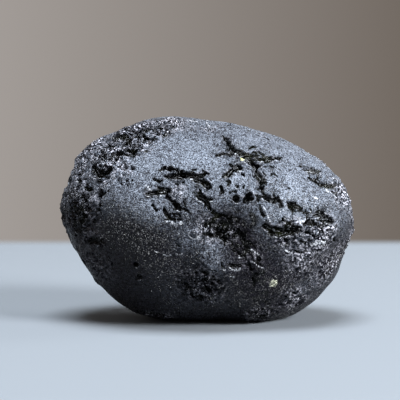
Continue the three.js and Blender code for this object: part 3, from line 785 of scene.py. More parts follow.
# %% [markdown]
# ## Where the glass crumbled
# The ends, the shoulder and some patches of the real stone are eaten to a sponge, while the top is
# almost plain. One noise over the whole stone would make all sides alike. Spots of a given strength
# put the sponge where it belongs, and a little noise breaks their round edges.

# %% Crumbled patches
# place, radius, strength
CRUMBLED = {"front": [
    # the left end and the shoulder above it
    (-24.0, 20.5, 7.5, 1.0), (-20.5, 27.5, 6.5, 1.0), (-16.0, 31.5, 5.0, 1.0),
    (-11.5, 34.8, 4.0, 0.9), (-7.0, 36.5, 3.0, 0.5), (-22.5, 13.0, 5.5, 0.65),
    (-24.5, 28.5, 4.5, 1.0), (-17.0, 27.0, 3.5, 0.75),
    # the right side
    (15.5, 18.0, 4.0, 0.9), (20.5, 17.5, 5.0, 1.0), (25.5, 22.5, 4.0, 0.9),
    (25.0, 27.0, 3.5, 0.7), (18.0, 15.0, 6.5, 0.72), (23.5, 13.0, 6.5, 0.72),
    (18.5, 8.0, 6.5, 0.6),
    # the middle and the patch near the foot
    (4.5, 18.5, 3.2, 0.8), (0.5, 19.0, 3.5, 0.75), (-1.0, 8.0, 5.2, 0.9), (-6.0, 24.5, 3.8, 0.55),
    (9.5, 14.0, 4.0, 0.6), (12.5, 4.0, 4.5, 0.8), (-10.5, 3.0, 3.5, 0.65),
], "top": [
    (-17.0, -5.0, 6.0, 1.0), (-9.0, -5.0, 4.5, 0.9), (-23.5, -3.0, 6.0, 1.0),
    (-4.0, -6.5, 3.0, 0.5), (1.0, -7.0, 3.0, 0.55), (16.0, -5.0, 5.0, 0.4),
], "left": [
    (-5.0, 27.0, 6.0, 0.9),
    (3.0, 20.0, 9.0, 1.0),
], "right": [
    (3.0, 20.0, 9.0, 1.0),
], "back": [
    (-8.0, 10.0, 7.0, 0.8), (13.0, 28.0, 7.0, 0.8), (-17.0, 26.0, 5.0, 0.7),
    (16.0, 12.0, 5.0, 0.7),
], "under": [
    (9.0, 4.0, 6.0, 0.7), (-14.0, 2.0, 6.0, 0.7),
]}

BLOTCHES = 2.6        # length of the noise that breaks a patch's edge, mm
BLOTCH_SHARE = 0.14   # and its strength
UNTOUCHED = 0.35      # strength up to which the glass stays whole
CRUMBLED_BESIDE = 0.8   # strength beside a deep gouge
GRADUAL = 1.8         # how quickly a patch sets in for the finish
SUDDEN = 3.0          # and for the relief

blotches = BLOTCH_SHARE * layered(base, BLOTCHES, 3) - UNTOUCHED
attacked = np.maximum(patchwork(CRUMBLED), CRUMBLED_BESIDE * gnawed)
crumbled = np.clip(GRADUAL * (attacked + blotches), 0, 1)
spread = np.clip(SUDDEN * (attacked + blotches), 0, 1)
print("crumbled share of the skin:", round(float((spread > 0.3).mean()), 2))

# %% [markdown]
# ## Where it is bare
# Some of the crumbled glass has lost its frost and is black and bright. It could follow the sponge
# everywhere, but the real right side is crumbled and still grey, so it has spots of its own.

# %% Bare patches
# place, radius, strength
BARE = {"front": [
    (-25.0, 19.5, 5.8, 1.0), (-20.5, 27.5, 4.5, 0.5), (-16.0, 32.0, 4.0, 0.8),
    (-11.5, 35.0, 3.0, 0.7), (4.0, 18.8, 3.2, 0.9), (7.0, 19.5, 3.6, 0.9),
    (-1.0, 8.0, 4.6, 1.0), (12.5, 4.0, 3.0, 0.7), (20.0, 19.0, 3.0, 0.6),
    (13.0, 8.0, 3.5, 0.7), (11.5, 12.0, 4.0, 0.9), (7.5, 15.5, 3.0, 0.8),
], "left": [
    (3.0, 20.0, 8.0, 0.9),
], "right": [
    (3.0, 20.0, 8.0, 0.6),
], "back": [
    (-8.0, 10.0, 6.0, 0.8), (13.0, 28.0, 6.0, 0.7),
]}

BARE_BESIDE = 0.7     # strength beside a deep gouge

laid_bare = np.maximum(patchwork(BARE), BARE_BESIDE * gnawed)
bare = np.clip(SUDDEN * (laid_bare + blotches), 0, 1)
print("bare share of the skin:", round(float((bare > 0.5).mean()), 2))

# %% [markdown]
# ## Fields of small pits
# Where bubbles sat close together the glass is now a sponge of small pits, and on the plain skin
# they are few. Scattering thousands of pits one by one would be slow. Instead space is parted in
# small cubes with one pit each, and a point only looks at the 27 cubes round it.

# %% Pit fields
# size of a cube and depth of a pit, mm, share of the cubes whose pit is open, seed
FIELDS = ((2.2, 0.9, 0.5, 11), (1.3, 0.7, 0.8, 23), (0.8, 0.5, 0.9, 47))
STRAY = 0.985         # luck above which a pit opens on the plain skin
STRAY_DEPTH = 0.6     # and its depth, as a share
FRESH = 0.15          # how dark the pits are where the skin is frosted
FRESH_WHERE_BARE = 0.75   # and how much darker where it is bare


def pit_field(p, size, seed):
    """Share of the way into the nearest pit, from 0 to 1, and that pit's own random number. Each
    cube of a lattice holds one pit at a random place, of a random radius of 0.2 to 0.5 cubes. Its
    numbers are those of its own corner and of a few corners farther on."""
    cell = np.floor(p / size)
    depth = np.zeros(len(p))
    luck = np.ones(len(p))
    for neighbour in np.ndindex(3, 3, 3):
        home = cell + np.array(neighbour) - 1
        i, j, k = (home + seed).T
        place = np.stack([corner_value(i, j, k), corner_value(j, k, i), corner_value(k, i, j)], 1)
        own = corner_value(i + 5, j + 9, k + 3)
        radius = size * (0.2 + 0.3 * own)
        ratio = np.linalg.norm(p - (home + place) * size, axis=1) / radius
        here = np.sqrt(np.clip(1 - ratio**2, 0, 1)) * radius / (0.5 * size)
        deeper = here > depth
        depth = np.where(deeper, here, depth)
        luck = np.where(deeper, corner_value(i + 2, j + 4, k + 8), luck)
    return depth, luck


crumble = np.zeros(len(base))      # depth of the sponge, mm
pocks = np.zeros(len(base))        # share of the way down into its pits
for size, deep, share, seed in FIELDS:
    depth, luck = pit_field(wandering, size, seed)
    here = depth * (luck < share * spread)
    stray = depth * (luck > STRAY) * (1 - spread)
    pocks = np.maximum(pocks, np.maximum(here, stray))
    crumble += deep * here + STRAY_DEPTH * deep * stray
hollow = np.maximum(hollow, pocks * (FRESH + FRESH_WHERE_BARE * bare))
print("sponge up to", round(crumble.max(), 2), "mm deep")

# %% [markdown]
# ## Creases
# Between the pits the crumbled glass stands up in sharp little crests, the last of the old skin.
# Plain noise gives round hills. Noise folded at zero gives crests, because its absolute value turns
# each crossing into an edge.

# %% Crests
CREASES = 1.1         # length of the large creases, mm
FINE_CREASES = 0.6    # length of the small ones
FINE_SHARE = 0.5      # and their height, as a share of the large ones'
CREST = 0.30          # height of the large ones, mm


def folded(p, length):
    """Noise folded at zero: crests of 1 along the zeros, and down to -1 between them."""
    return 1 - 2 * np.abs(noise(p, length))


creases = folded(wandering @ TURN.T, CREASES)
creases += FINE_SHARE * folded(wandering + 9.0, FINE_CREASES)
ridges = CREST * spread * creases
print("crests up to", round(ridges.max(), 2), "mm")

# %% [markdown]
# ## Lines of flow
# The molten glass was drawn out in layers, and etching shows them as fine parallel lines on a few
# patches. Lines drawn one by one would be too even. Here a noise is drawn out along their slant:
# most of the way along it is left out, so its lumps become streaks.

# %% Fine parallel lines
DRAWN_OUT = 0.85      # share of the way along the slant that is left out
STREAKS = 0.55        # width of the broad streaks, mm
HAIRS = 0.3           # width of the fine ones
HAIR_SHARE = 0.7      # and their height, as a share of the broad ones'
TOOTH = 0.7           # length of the slight unevenness everywhere, mm
TOOTH_RISE = 0.03     # and its height
# place, radius, rise, slant
STRIATED = {"front": [
    (19.8, 9.0, 6.0, 0.16, 0.6), (2.8, 13.9, 3.2, 0.14, -0.7), (-5.0, 22.6, 2.0, 0.07, -0.5),
    (23.5, 26.5, 2.5, 0.08, -0.6),
], "back": [
    (4.0, 24.0, 5.0, 0.1, 0.4),
]}

grain = TOOTH_RISE * layered(base, TOOTH, 2)
for side, a, b, radius, rise, slant in by_side(STRIATED):
    lines = np.array([-math.sin(slant), 0.0, math.cos(slant)])
    streaked = base - DRAWN_OUT * (base - (base @ lines)[:, None] * lines)
    streaks = noise(streaked, STREAKS) + HAIR_SHARE * noise(streaked + 5.0, HAIRS)
    grain += rise * bell(on_stone(side, (a, b)), radius) * streaks
print("grain and lines from", round(grain.min(), 2), "to", round(grain.max(), 2), "mm")

# %% [markdown]
# ## Frost, and painted shade
# The frost is a skin of tiny facets, and the more of it there is, the paler the skin. Here it grows
# towards upward faces, so the underside is darker: that is painted shade. It thickens and thins in
# patches. A plain gradient from top to bottom would look sprayed on, so the spots below add to it
# and take from it; some of them are painted light and shade, at the brow, the dark dent low in the
# middle, the bulge below it and the top's crest.

# %% Amount of frost
# place, radius, strength, which is below zero where the skin is made darker
FROST_AND_SHADE = {"front": [
    (1.6, 15.6, 2.2, 0.26), (-4.6, 17.2, 1.6, 0.12),
    (19.0, 20.0, 6.5, 0.45), (22.0, 12.0, 6.0, 0.02), (-2.5, 17.6, 2.2, 0.45),
    (18.0, 16.5, 3.0, 0.12), (2.5, 13.8, 3.0, 0.25), (-3.5, 21.8, 3.0, 0.12),
    (16.5, 23.5, 3.5, 0.25), (15.0, 15.0, 3.0, 0.15), (6.0, 19.0, 4.0, -0.35),
    (-24.0, 15.0, 5.0, -0.2), (-2.0, 29.5, 5.0, 0.1), (-10.5, 28.5, 5.0, 0.04),
    (-6.0, 20.2, 2.2, 0.12), (7.3, 24.2, 3.2, 0.28), (-9.5, 33.0, 4.0, 0.12),
    (-19.0, 33.0, 3.5, -0.35), (12.2, 20.5, 2.5, 0.2), (25.5, 21.0, 4.0, 0.3),
    (-8.0, 22.5, 5.0, 0.14), (-15.0, 27.0, 4.5, 0.2), (-5.0, 31.5, 6.0, 0.12),
    (5.5, 25.0, 6.0, 0.15), (13.5, 20.5, 4.5, 0.18), (2.0, 4.5, 8.0, 0.16),
    (-1.0, 17.0, 3.0, 0.12), (9.0, 21.5, 3.0, 0.1), (-22.0, 25.0, 4.0, 0.15),
    (11.0, 11.0, 4.0, -0.2), (-14.0, 21.5, 5.5, 0.2), (-1.5, 20.2, 1.8, -0.15),
    (14.5, 19.0, 5.0, 0.1), (-14.5, 18.5, 3.5, -0.25), (-10.5, 21.1, 3.0, 0.25),
    (-8.0, 20.0, 2.5, 0.15), (8.5, 20.8, 2.6, 0.2), (10.3, 18.8, 1.8, 0.45),
    (20.0, 18.9, 3.0, 0.3), (23.3, 19.3, 1.8, 0.25), (3.6, 18.1, 1.8, 0.3),
    (-5.4, 16.5, 1.3, 0.35), (2.1, 12.1, 1.5, 0.3), (20.5, 9.5, 4.0, 0.25),
    (-24.0, 21.0, 3.0, 0.25), (-13.5, 33.0, 2.5, 0.25), (-7.2, 36.6, 2.0, -0.2),
    (-9.0, 8.0, 6.0, 0.12),
    # painted light and shade: a painted highlight on the brow's pale edge on the left, and painted
    # shade in the straight under it
    (-18.4, 20.6, 1.5, 0.12), (-16.0, 20.9, 1.5, 0.15), (-13.6, 21.0, 1.5, 0.15),
    (-11.4, 20.7, 1.5, 0.15), (-9.2, 20.3, 1.5, 0.12),
    (-18.2, 18.3, 1.8, -0.2), (-15.9, 18.6, 1.8, -0.25), (-13.6, 18.3, 1.8, -0.25),
    (-11.4, 17.8, 1.8, -0.25), (-9.2, 17.4, 1.8, -0.15),
], "top": [
    # painted shade: the crest of the top made darker
    (-14.0, -6.0, 6.0, -0.25), (-3.0, -7.0, 5.0, -0.15),
]}

FROST_FROM = -0.15    # upward part of the normal at which the frost sets in
FROST_OVER = 0.7      # and over how much of it the frost becomes full
MOST_FROST = 0.72

# the frost grows towards upward faces, so the underside is darker: painted shade
rising = np.clip((normal[:, 2] - FROST_FROM) / FROST_OVER, 0, 1)
frosted = MOST_FROST * rising**2 * (3 - 2 * rising)
for side, a, b, radius, strength in by_side(FROST_AND_SHADE):
    frosted += strength * bell(on_stone(side, (a, b)), radius)
print("frost on average", round(float(frosted.mean()), 2))

# %% [markdown]
# ## The skin
# The heights are added up along the ovoid's normals, the foot is worn flat where the stone rests,
# and the result is fitted to the packed solid's box, so that the skin is exactly the stone's size.
# A displace modifier could move the points too, but only by one image or texture at a time.

# %% Skin mesh
LIP = 0.09            # height of a lip, mm

relief = height - cut + LIP * lip * (1 - hollow) - crumble + ridges + grain
skin_mm = base + relief[:, None] * normal
skin_mm[:, 2] = np.maximum(skin_mm[:, 2], 0)
low, high = skin_mm.min(axis=0), skin_mm.max(axis=0)
skin_points = stone_low + (skin_mm - low) / (high - low) * (stone_high - stone_low)
print("fitted by", np.round((stone_high - stone_low) / (high - low) / MM, 3))


def mesh_piece(name, points, faces):
    """A mesh object at the origin, with smooth faces."""
    mesh = bpy.data.meshes.new(name)
    mesh.from_pydata(points, [], faces)
    mesh.update()
    mesh.shade_smooth()
    piece = bpy.data.objects.new(name, mesh)
    bpy.context.scene.collection.objects.link(piece)
    return piece


skin = mesh_piece("tektite_skin", skin_points, squares)
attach(skin, "root")
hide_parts("tektite")
print(skin.name, len(skin.data.vertices), "points")

# %% [markdown]
# ## What the finish knows
# A material can't tell by itself where the glass is hollow, crumbled or frosted. Painted images
# could say so, but the numbers are here already, one for each point, so they go with the mesh as
# attributes. Two small spots come along: a crumb of pale clay, and a painted glint, a small yellow
# spot in a gouge of the star.

# %% Attributes
clay = bell(on_stone("front", (14.3, 10.6)), 0.8)
# a painted glint: a small pale yellow spot in a gouge of the star
chip = bell(on_stone("front", (9.3, 30.2)), 0.45)

attributes = {
    "hollow": hollow, "across": across, "gnawed": gnawed, "crumbled": crumbled, "bare": bare,
    "lip": lip * (1 - hollow), "crest": creases / (1 + FINE_SHARE) * (1 - pocks),
    "frosted": frosted, "clay": clay, "chip": chip,
}
for name, values in attributes.items():
    attribute = skin.data.attributes.new(name, "FLOAT", "POINT")
    attribute.data.foreach_set("value", np.asarray(values, np.float32))
print("the skin carries", ", ".join(attributes))

# %% [markdown]
# ## Shader arithmetic
# Materials are node trees, and sums in them are tedious to wire. A wire is a number on its way from
# one node to the next, and arithmetic on wires adds the Math nodes.

# %% Wires


class Wire:
    """A node's output. Arithmetic on it adds Math nodes to its tree."""

    def __init__(self, tree, socket):
        self.tree = tree
        self.socket = socket

    def __add__(self, other):
        return self.tree.maths("ADD", self, other)

    def __radd__(self, other):
        return self.tree.maths("ADD", other, self)

    def __sub__(self, other):
        return self.tree.maths("SUBTRACT", self, other)

    def __rsub__(self, other):
        return self.tree.maths("SUBTRACT", other, self)

    def __mul__(self, other):
        return self.tree.maths("MULTIPLY", self, other)

    def __rmul__(self, other):
        return self.tree.maths("MULTIPLY", other, self)


print("wires can be added, subtracted and multiplied")

# %% [markdown]
# ## Building a node tree
# Each node could be made and linked by hand in five lines. One method does it in one line instead,
# and a few short ones name the nodes that this stone needs often.

# %% Node trees


class Tree:
    """A node tree that is built up node by node."""

    def __init__(self, owner):
        owner.use_nodes = True
        self.nodes = owner.node_tree.nodes
        self.links = owner.node_tree.links
        self.nodes.clear()

    def node(self, kind, settings=None, sockets=None, out=0):
        """Adds a node of a type. Its settings are set first, with a ramp's stops among them, then
        its sockets get their values or links. Gives back one of its outputs."""
        made = self.nodes.new(kind)
        for name, value in (settings or {}).items():
            if name == "stops":
                self.set_stops(made.color_ramp.elements, value)
            else:
                setattr(made, name, value)
        for name, value in (sockets or {}).items():
            if isinstance(value, Wire):
                self.links.new(value.socket, made.inputs[name])
            else:
                made.inputs[name].default_value = value
        return Wire(self, made.outputs[out]) if made.outputs else made

    @staticmethod
    def set_stops(elements, stops):
        while len(elements) < len(stops):
            elements.new(0.5)
        for element, (position, colour) in zip(elements, stops):
            element.position = position
            element.color = (*colour, 1)

    def maths(self, operation, first, second):
        return self.node("ShaderNodeMath", {"operation": operation}, {0: first, 1: second})

    def vector(self, operation, *vectors, scale=1.0):
        """Vector sum, difference or multiple."""
        sockets = dict(enumerate(vectors))
        sockets[3] = scale
        return self.node("ShaderNodeVectorMath", {"operation": operation}, sockets)

    def attribute(self, name):
        return self.node("ShaderNodeAttribute", {"attribute_name": name}, out="Fac")

    def mix(self, factor, a, b):
        """Colour mixed from a to b."""
        return self.node("ShaderNodeMix", {"data_type": "RGBA"}, {0: factor, 6: a, 7: b}, out=2)

    def step(self, value, low, high):
        """Value eased from 0 at low to 1 at high."""
        return self.node("ShaderNodeMapRange", {"interpolation_type": "SMOOTHSTEP"},
                         {"Value": value, "From Min": low, "From Max": high})

    def cells(self, place, width):
        """A random colour for each of the cells that space is parted into, of that width in
        metres."""
        return self.node("ShaderNodeTexVoronoi", None, {"Vector": place, "Scale": 1 / width},
                         out="Color")

    def noise(self, place, grain, detail=2.0):
        """Noise from 0 to 1 with lumps of that size in metres."""
        return self.node("ShaderNodeTexNoise", None,
                         {"Vector": place, "Scale": 1 / grain, "Detail": detail})


print("short methods:", ", ".join(name for name in vars(Tree) if not name.startswith("_")))

# %% [markdown]
# ## The glass's colours
# The glass itself is almost black, and brown-green only where it is thin. Etching leaves a bluish
# grey frost on it, and a fresh break is paler still, because its edges scatter light; the same pale
# colour also paints glints on some crumbs. The rims and the threads of flow get a painted
# highlight, and a small yellow spot is a painted glint. A transparent glass would cost far more
# time and look the same, as light gets less than a millimetre into it.

# %% Colours
FROST_COLOUR = (0.206, 0.232, 0.280, 1)
CLEAN_COLOUR = (0.005, 0.0035, 0.008, 1)      # the skin where it has no frost
SPECK_COLOUR = (0.006, 0.005, 0.009, 1)
# painted highlight: on the lips, the chipped rims and the threads of flow
PAINTED_HIGHLIGHT_COLOUR = (0.47, 0.48, 0.515, 1)
# pale broken glass on the crumbs, partly painted glints, and painted glints in the hollows
CHIP_AND_GLINT_COLOUR = (0.50, 0.49, 0.55, 1)
GLASS_COLOUR = (0.002, 0.002, 0.002, 1)
OLIVE_COLOUR = (0.010, 0.0115, 0.004, 1)      # glass that is thin
CLAY_COLOUR = (0.42, 0.42, 0.32, 1)
GLINT_SPOT_COLOUR = (0.80, 0.80, 0.42, 1)           # a painted yellow glint
print("frost is", round(FROST_COLOUR[1] / CLEAN_COLOUR[1]), "times as bright as clean skin")

# %% [markdown]
# ## Patterns of the etching
# Under a lens the skin is made of facets, a few of which sparkle, dark specks and, on the crumbled
# patches, holes with crumbs between them. They are finer than the mesh, so they come from noise and
# cells in the material. Colour, gloss and relief share them, so that a hole is dark, glossy and
# deep at once.

# %% Shared patterns
FACET = 0.00018       # width of the facets, in metres
GRAIN = 0.00021       # and of the dark specks
CRUMB = 0.00032       # and of the crumbs on the crumbled patches
SPONGE = 0.0005       # and of the holes between them
BREAKS = 0.0016       # and of the gaps in rims and spots
FLOW = 0.0012         # and of the bends in the lines along the gouges
THREADS = 7.0         # how close those lines are
WAVINESS = 6.0        # and how strongly they bend
SPARKLE = (0.88, 0.93)       # from none to full: random number of a facet
HOLLOW_EDGE = (0.15, 0.4)    # share of the way down
WORN_CREST = (0.45, 0.15)    # nearness to a crest


class Etching:
    """The wires that all parts of the finish share."""

    def __init__(self, tree):
        self.place = place = tree.node("ShaderNodeTexCoord", out="Object")
        self.fine = tree.noise(place, GRAIN)
        self.sponge = tree.noise(place, SPONGE)
        self.facets = tree.cells(place, FACET)
        self.crumbs = tree.cells(place, CRUMB)
        risen = tree.node("ShaderNodeSeparateXYZ", None, {0: self.facets}, out="Z")
        self.sparkle = tree.step(risen, *SPARKLE)
        self.luck = tree.node("ShaderNodeSeparateXYZ", None, {0: self.crumbs}, out="X")
        self.broken = self.fine + tree.noise(place, BREAKS) - 1.0
        self.crumbled = tree.attribute("crumbled")
        self.gnawed = tree.attribute("gnawed")
        ragged = tree.attribute("hollow") + (self.fine - 0.5) * 0.6
        self.hollow = tree.step(ragged, *HOLLOW_EDGE)

        # on the crumbled patches only the crests keep their frost
        worn_off = tree.step(tree.attribute("crest") + (self.fine - 0.5) * 1.5, *WORN_CREST)
        self.fresh = tree.maths("MAXIMUM", self.hollow, tree.attribute("bare") * worn_off)

        # fine lines of flow along the gouges: the sine of the place across them
        flow = tree.attribute("across") * THREADS + WAVINESS * tree.noise(place, FLOW)
        self.threads = tree.maths("SINE", flow, 0.0) * self.gnawed


print("facets of", round(FACET * 1000, 2), "mm, crumbs of", round(CRUMB * 1000, 2), "mm")

# %% [markdown]
# ## Frosted glass
# This is the grey skin. It is speckled with dark pinholes, and its crumbled patches glitter with
# pale chips round dark holes: the chips are partly pale broken glass and partly painted glints. One
# flat grey would look like plastic, so its colour goes through the specks, the chips and the holes
# in turn, and ends with a painted highlight on the rims.

# %% Colour of the frosted skin
CLOUDS = 0.003               # in metres: the skin has more and fewer specks in clouds of this size
TUFTS = 0.0007               # and in tufts of this size within them
SPECKS = (0.74, 0.88)        # nearness to a rim, for its painted highlight
CHIPS = (0.4, 0.95)          # random number of a crumb
HOLES = (0.50, 0.44)         # the sponge
RIM_HIGHLIGHTS = (0.5, 0.8)            # nearness to a rim
BROKEN_HIGHLIGHTS = 1.3            # how broken the rims' painted highlights are


def frosted_glass(tree, etching):
    """Clean to frosted by the amount of frost, which also holds painted shade, then specks where
    the noise is high, more and darker ones where the frost is thin, chips on lucky crumbs, partly
    painted glints, holes where the sponge is low, and a painted highlight on the rims."""
    uneven = 0.2 * tree.noise(etching.place, CLOUDS) + 0.35 * tree.noise(etching.place, TUFTS)
    worn = 1.0 - tree.attribute("frosted")
    specks = tree.step(etching.fine + uneven + 0.04 * worn, *SPECKS) * (0.85 + 0.25 * worn)
    chips_and_glints = tree.step(etching.luck, *CHIPS) * (1.0 - 0.7 * tree.attribute("bare"))
    holes = tree.step(etching.sponge + 0.1 * (etching.luck - 0.5), *HOLES)
    # painted highlight on the rims
    rim_highlights = tree.step(tree.attribute("lip") + etching.broken * BROKEN_HIGHLIGHTS, *RIM_HIGHLIGHTS)
    # clean to frosted by the amount of frost, which also holds the painted shade of the underside
    # and the brow
    colour = tree.mix(tree.attribute("frosted"), CLEAN_COLOUR, FROST_COLOUR)
    colour = tree.mix(specks, colour, SPECK_COLOUR)
    # pale chips on lucky crumbs, partly painted glints
    colour = tree.mix(etching.crumbled * chips_and_glints, colour, CHIP_AND_GLINT_COLOUR)
    colour = tree.mix(etching.crumbled * holes, colour, SPECK_COLOUR)
    return tree.mix(rim_highlights, colour, PAINTED_HIGHLIGHT_COLOUR)


print("specks on skin of colour", FROST_COLOUR[:3])

# %% [markdown]
# ## Fresh glass
# Down in the hollows the glass is fresh, black and glossy. In places it is thin enough to look
# olive. Painted glints run along its threads of flow and sit on some loose chips. A plain black
# would make the gouges look like holes cut in paper.

# %% Colour of the hollows
OLIVE_STREAKS = 0.004        # in metres
OLIVE = (0.45, 0.75)         # from none to full: the streaks' noise
GLINTS = (0.78, 0.95)        # random number of a crumb
THREAD_GLINTS = (0.8, 0.95)   # sine of a line of flow


def fresh_glass(tree, etching):
    """Black to olive in streaks, then painted glints along the threads where their sine is high,
    and painted glints on the luckiest crumbs, fewer near the gouges."""
    olive = tree.step(tree.noise(etching.place, OLIVE_STREAKS), *OLIVE)
    glints = tree.step(etching.luck, *GLINTS) * (0.6 - 0.6 * etching.gnawed)
    colour = tree.mix(olive * etching.hollow * etching.gnawed, GLASS_COLOUR, OLIVE_COLOUR)
    threads = tree.step(etching.threads, *THREAD_GLINTS)
    # painted glints along the threads of flow
    colour = tree.mix(0.7 * threads, colour, PAINTED_HIGHLIGHT_COLOUR)
    # painted glints on the luckiest crumbs
    return tree.mix(etching.crumbled * glints, colour, CHIP_AND_GLINT_COLOUR)


print("olive streaks on glass of colour", GLASS_COLOUR[:3])

# %% [markdown]
# ## The etching's relief
# A frosted skin glitters because each facet leans its own way, most of all where the frost is thin
# and on the facets that sparkle. A finer mesh would need millions of points. Soft dimples come from
# a bump instead, and each cell's random colour, less its middle value, is added to the normal as a
# lean.

# %% Relief finer than the mesh
DIMPLE = 0.0005       # height of the bump, in metres
LEAN = 1.2            # lean of the facets
STEEPER = 2.0         # how many times as much they lean where there is no frost
LEVELLED = 1.1        # and how much of that a full frost takes away
TUMBLE = 2.0          # lean of the crumbs


def etched_relief(tree, etching):
    """The normal: the bumped one plus the leans of facets and crumbs, brought to length one."""
    dimples = tree.node("ShaderNodeBump", None, {
        "Strength": 1.0, "Distance": DIMPLE,
        "Height": (etching.fine * (1.0 - 0.7 * etching.hollow) + 0.25 * etching.threads
                   + 2.2 * etching.crumbled * etching.sponge)})
    even = (0.5, 0.5, 0.5)
    steepness = STEEPER - LEVELLED * tree.attribute("frosted")
    lean = tree.vector("SCALE", tree.vector("SUBTRACT", etching.facets, even),
                       scale=LEAN * steepness * (1.0 + etching.sparkle))
    tumbled = tree.vector("SCALE", tree.vector("SUBTRACT", etching.crumbs, even),
                          scale=TUMBLE * etching.crumbled * (1.0 - 0.5 * etching.hollow))
    leaning = tree.vector("ADD", tree.vector("ADD", dimples, lean), tumbled)
    return tree.vector("NORMALIZE", leaning)


print("dimples of up to", DIMPLE * 1000, "mm")

# %% [markdown]
# ## The whole finish
# Frosted and fresh glass meet at the hollows' rims, and the clay crumb and the painted yellow glint
# lie on top. One shader with these mixed into its colour and roughness is enough, because it is all
# one glass.

# %% Glass finish
SATIN = 0.37          # roughness of the frosted skin
GLOSS = 0.25          # how much less it is on fresh glass
CRUMB_POLISH = 0.7    # how much of that gloss the crumbled patches have
SPARKLE_POLISH = 0.6  # and the facets that sparkle
SPOT_EDGE = (0.4, 0.5)   # from none to full: strength of the clay's spot and of the painted glint's
REFRACTION = 1.5
REFLECTION = 0.22


def tektite_glass():
    """The glass: its colour is frosted or fresh, and then clay or the painted yellow glint."""
    material = bpy.data.materials.new("etched_glass")
    tree = Tree(material)
    etching = Etching(tree)
    colour = tree.mix(etching.fresh, frosted_glass(tree, etching), fresh_glass(tree, etching))
    clay_edge = tree.attribute("clay") + etching.broken
    colour = tree.mix(tree.step(clay_edge, *SPOT_EDGE), colour, CLAY_COLOUR)
    # the painted yellow glint in the star
    colour = tree.mix(tree.step(tree.attribute("chip"), *SPOT_EDGE), colour, GLINT_SPOT_COLOUR)
    polished = tree.maths("MAXIMUM", etching.fresh, CRUMB_POLISH * etching.crumbled)
    polished = tree.maths("MAXIMUM", polished, SPARKLE_POLISH * etching.sparkle)
    surface = tree.node("ShaderNodeBsdfPrincipled", None, {
        "Base Color": colour, "Roughness": SATIN - GLOSS * polished,
        "Normal": etched_relief(tree, etching), "IOR": REFRACTION,
        "Specular IOR Level": REFLECTION})
    tree.node("ShaderNodeOutputMaterial", None, {"Surface": surface})
    return material


skin.data.materials.append(tektite_glass())
print("finish:", skin.data.materials[0].name, len(skin.data.materials[0].node_tree.nodes), "nodes")

# %% [markdown]
# ## The table
# The stone lies on a pale, cool table top. A table seen from close by has a soft far edge, out of
# focus. The camera here keeps everything sharp, so the edge fades out instead, by mixing the
# surface with nothing.

# %% Table top
TABLE_COLOUR = (0.158, 0.172, 0.188, 1)
FAR_EDGE = 0.126      # in metres, as the next three are
FADE = 0.020
TABLE_HALF = 0.6
TABLE_FRONT = -0.9


def table_material():
    material = bpy.data.materials.new("table_top")
    tree = Tree(material)
    place = tree.node("ShaderNodeTexCoord", out="Object")
    depth = tree.node("ShaderNodeSeparateXYZ", None, {0: place}, out="Y")
    fading = tree.step(depth, FAR_EDGE - FADE / 2, FAR_EDGE + FADE / 2)
    top = tree.node("ShaderNodeBsdfPrincipled", None, {
        "Base Color": TABLE_COLOUR, "Roughness": 0.9, "IOR": 1.4, "Specular IOR Level": 0.05})
    gone = tree.node("ShaderNodeBsdfTransparent")
    mixed = tree.node("ShaderNodeMixShader", None, {0: fading, 1: top, 2: gone})
    tree.node("ShaderNodeOutputMaterial", None, {"Surface": mixed})
    return material


table_corners = [(x, y, 0.0) for x, y in (
    (-TABLE_HALF, TABLE_FRONT), (TABLE_HALF, TABLE_FRONT),
    (TABLE_HALF, FAR_EDGE + FADE), (-TABLE_HALF, FAR_EDGE + FADE))]
table = mesh_piece("table_top", table_corners, [(0, 1, 2, 3)])
table.data.materials.append(table_material())
print("table top", round(2 * TABLE_HALF, 1), "m wide")

# %% [markdown]
# ## The room
# The room behind is a plain taupe, a little brighter to the left. A wall would do, but it would
# throw back the lamps' light. The world's own colour lights softly from everywhere, and a ramp
# across it gives the change from left to right.

# %% Room
LEFT_WALL = (0.36, 0.33, 0.31)
RIGHT_WALL = (0.17, 0.145, 0.125)
QUICKNESS = 4.0       # how quickly the left's colour turns into the right's


def room():
    """World colour: a ramp over the sideways part of the viewing direction."""
    world = bpy.data.worlds.new("room")
    bpy.context.scene.world = world
    tree = Tree(world)
    towards = tree.node("ShaderNodeTexCoord", out="Generated")
    rightwards = tree.node("ShaderNodeSeparateXYZ", None, {0: towards}, out="X")
    wall = tree.node("ShaderNodeValToRGB", {"stops": [(0.0, LEFT_WALL), (1.0, RIGHT_WALL)]},
                     {0: rightwards * QUICKNESS + 0.5})
    background = tree.node("ShaderNodeBackground", None, {"Color": wall, "Strength": 1.0})
    tree.node("ShaderNodeOutputWorld", None, {"Surface": background})
    return world


print("room:", room().name)

# %% [markdown]
# ## Light
# A soft window light comes from the right, a broad one from above, and a low one fills the blunt
# end. On a frosted black stone it is the light's reflection that draws the form, so the size of a
# lamp matters more than its strength. Point lamps would only leave sparks.

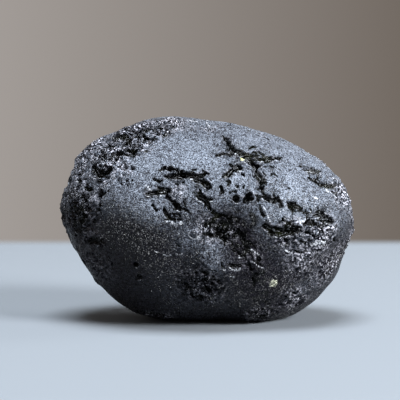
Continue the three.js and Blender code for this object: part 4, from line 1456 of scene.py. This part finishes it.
# %% Lights
LAMPS = {      # place, size, power, colour
    "window": ((0.630, -0.435, 0.436), 0.26, 18.4, (0.92, 0.96, 1.0)),
    "ceiling": ((-0.020, -0.096, 0.884), 0.40, 19.0, (0.86, 0.93, 1.0)),
    "side": ((0.804, 0.190, 0.140), 0.21, 9.0, (0.95, 0.98, 1.0)),
}
LIT_POINT = Vector((0, 0, 0.02))


def soft_light(name, place, size, power, colour):
    """A square light at a place, turned to the stone."""
    light = bpy.data.lights.new(name, "AREA")
    light.size = size
    light.energy = power
    light.color = colour
    lamp = bpy.data.objects.new(name, light)
    lamp.location = place
    lamp.rotation_mode = "QUATERNION"
    lamp.rotation_quaternion = (LIT_POINT - Vector(place)).to_track_quat("-Z", "Y")
    bpy.context.scene.collection.objects.link(lamp)


for name, lamp in LAMPS.items():
    soft_light(name, *lamp)
print("lights:", ", ".join(LAMPS))

# %% [markdown]
# ## Camera
# The camera looks at the broad side from a little above the table, from about the distance at which
# such a close view is taken. A nearer one would bend the form. Its lens is set so that the stone
# fills three quarters of the width.

# %% Camera
ELEVATION = math.radians(5.0)
DISTANCE = 0.300
AIM = Vector((-1.26, 0.0, 22.25)) * float(MM)
VIEW_WIDTH = 0.0741    # width seen at the stone
SENSOR_WIDTH = 36.0    # mm

camera = bpy.data.cameras.new("camera")
camera.sensor_width = SENSOR_WIDTH
camera.lens = camera.sensor_width * DISTANCE / VIEW_WIDTH
viewer = bpy.data.objects.new("camera", camera)
backwards = Vector((0.0, -math.cos(ELEVATION), math.sin(ELEVATION)))
viewer.location = AIM + backwards * DISTANCE
viewer.rotation_mode = "QUATERNION"
viewer.rotation_quaternion = (-backwards).to_track_quat("-Z", "Y")
bpy.context.scene.collection.objects.link(viewer)
bpy.context.scene.camera = viewer
bpy.context.scene.view_settings.view_transform = "Standard"
print("lens", round(camera.lens, 1), "mm")

# %% [markdown]
# ## The size
# The finished stone has to be as large as the packed one. Its box could be looked up by hand each
# time; instead the skin above is fitted to the packed solid's box.
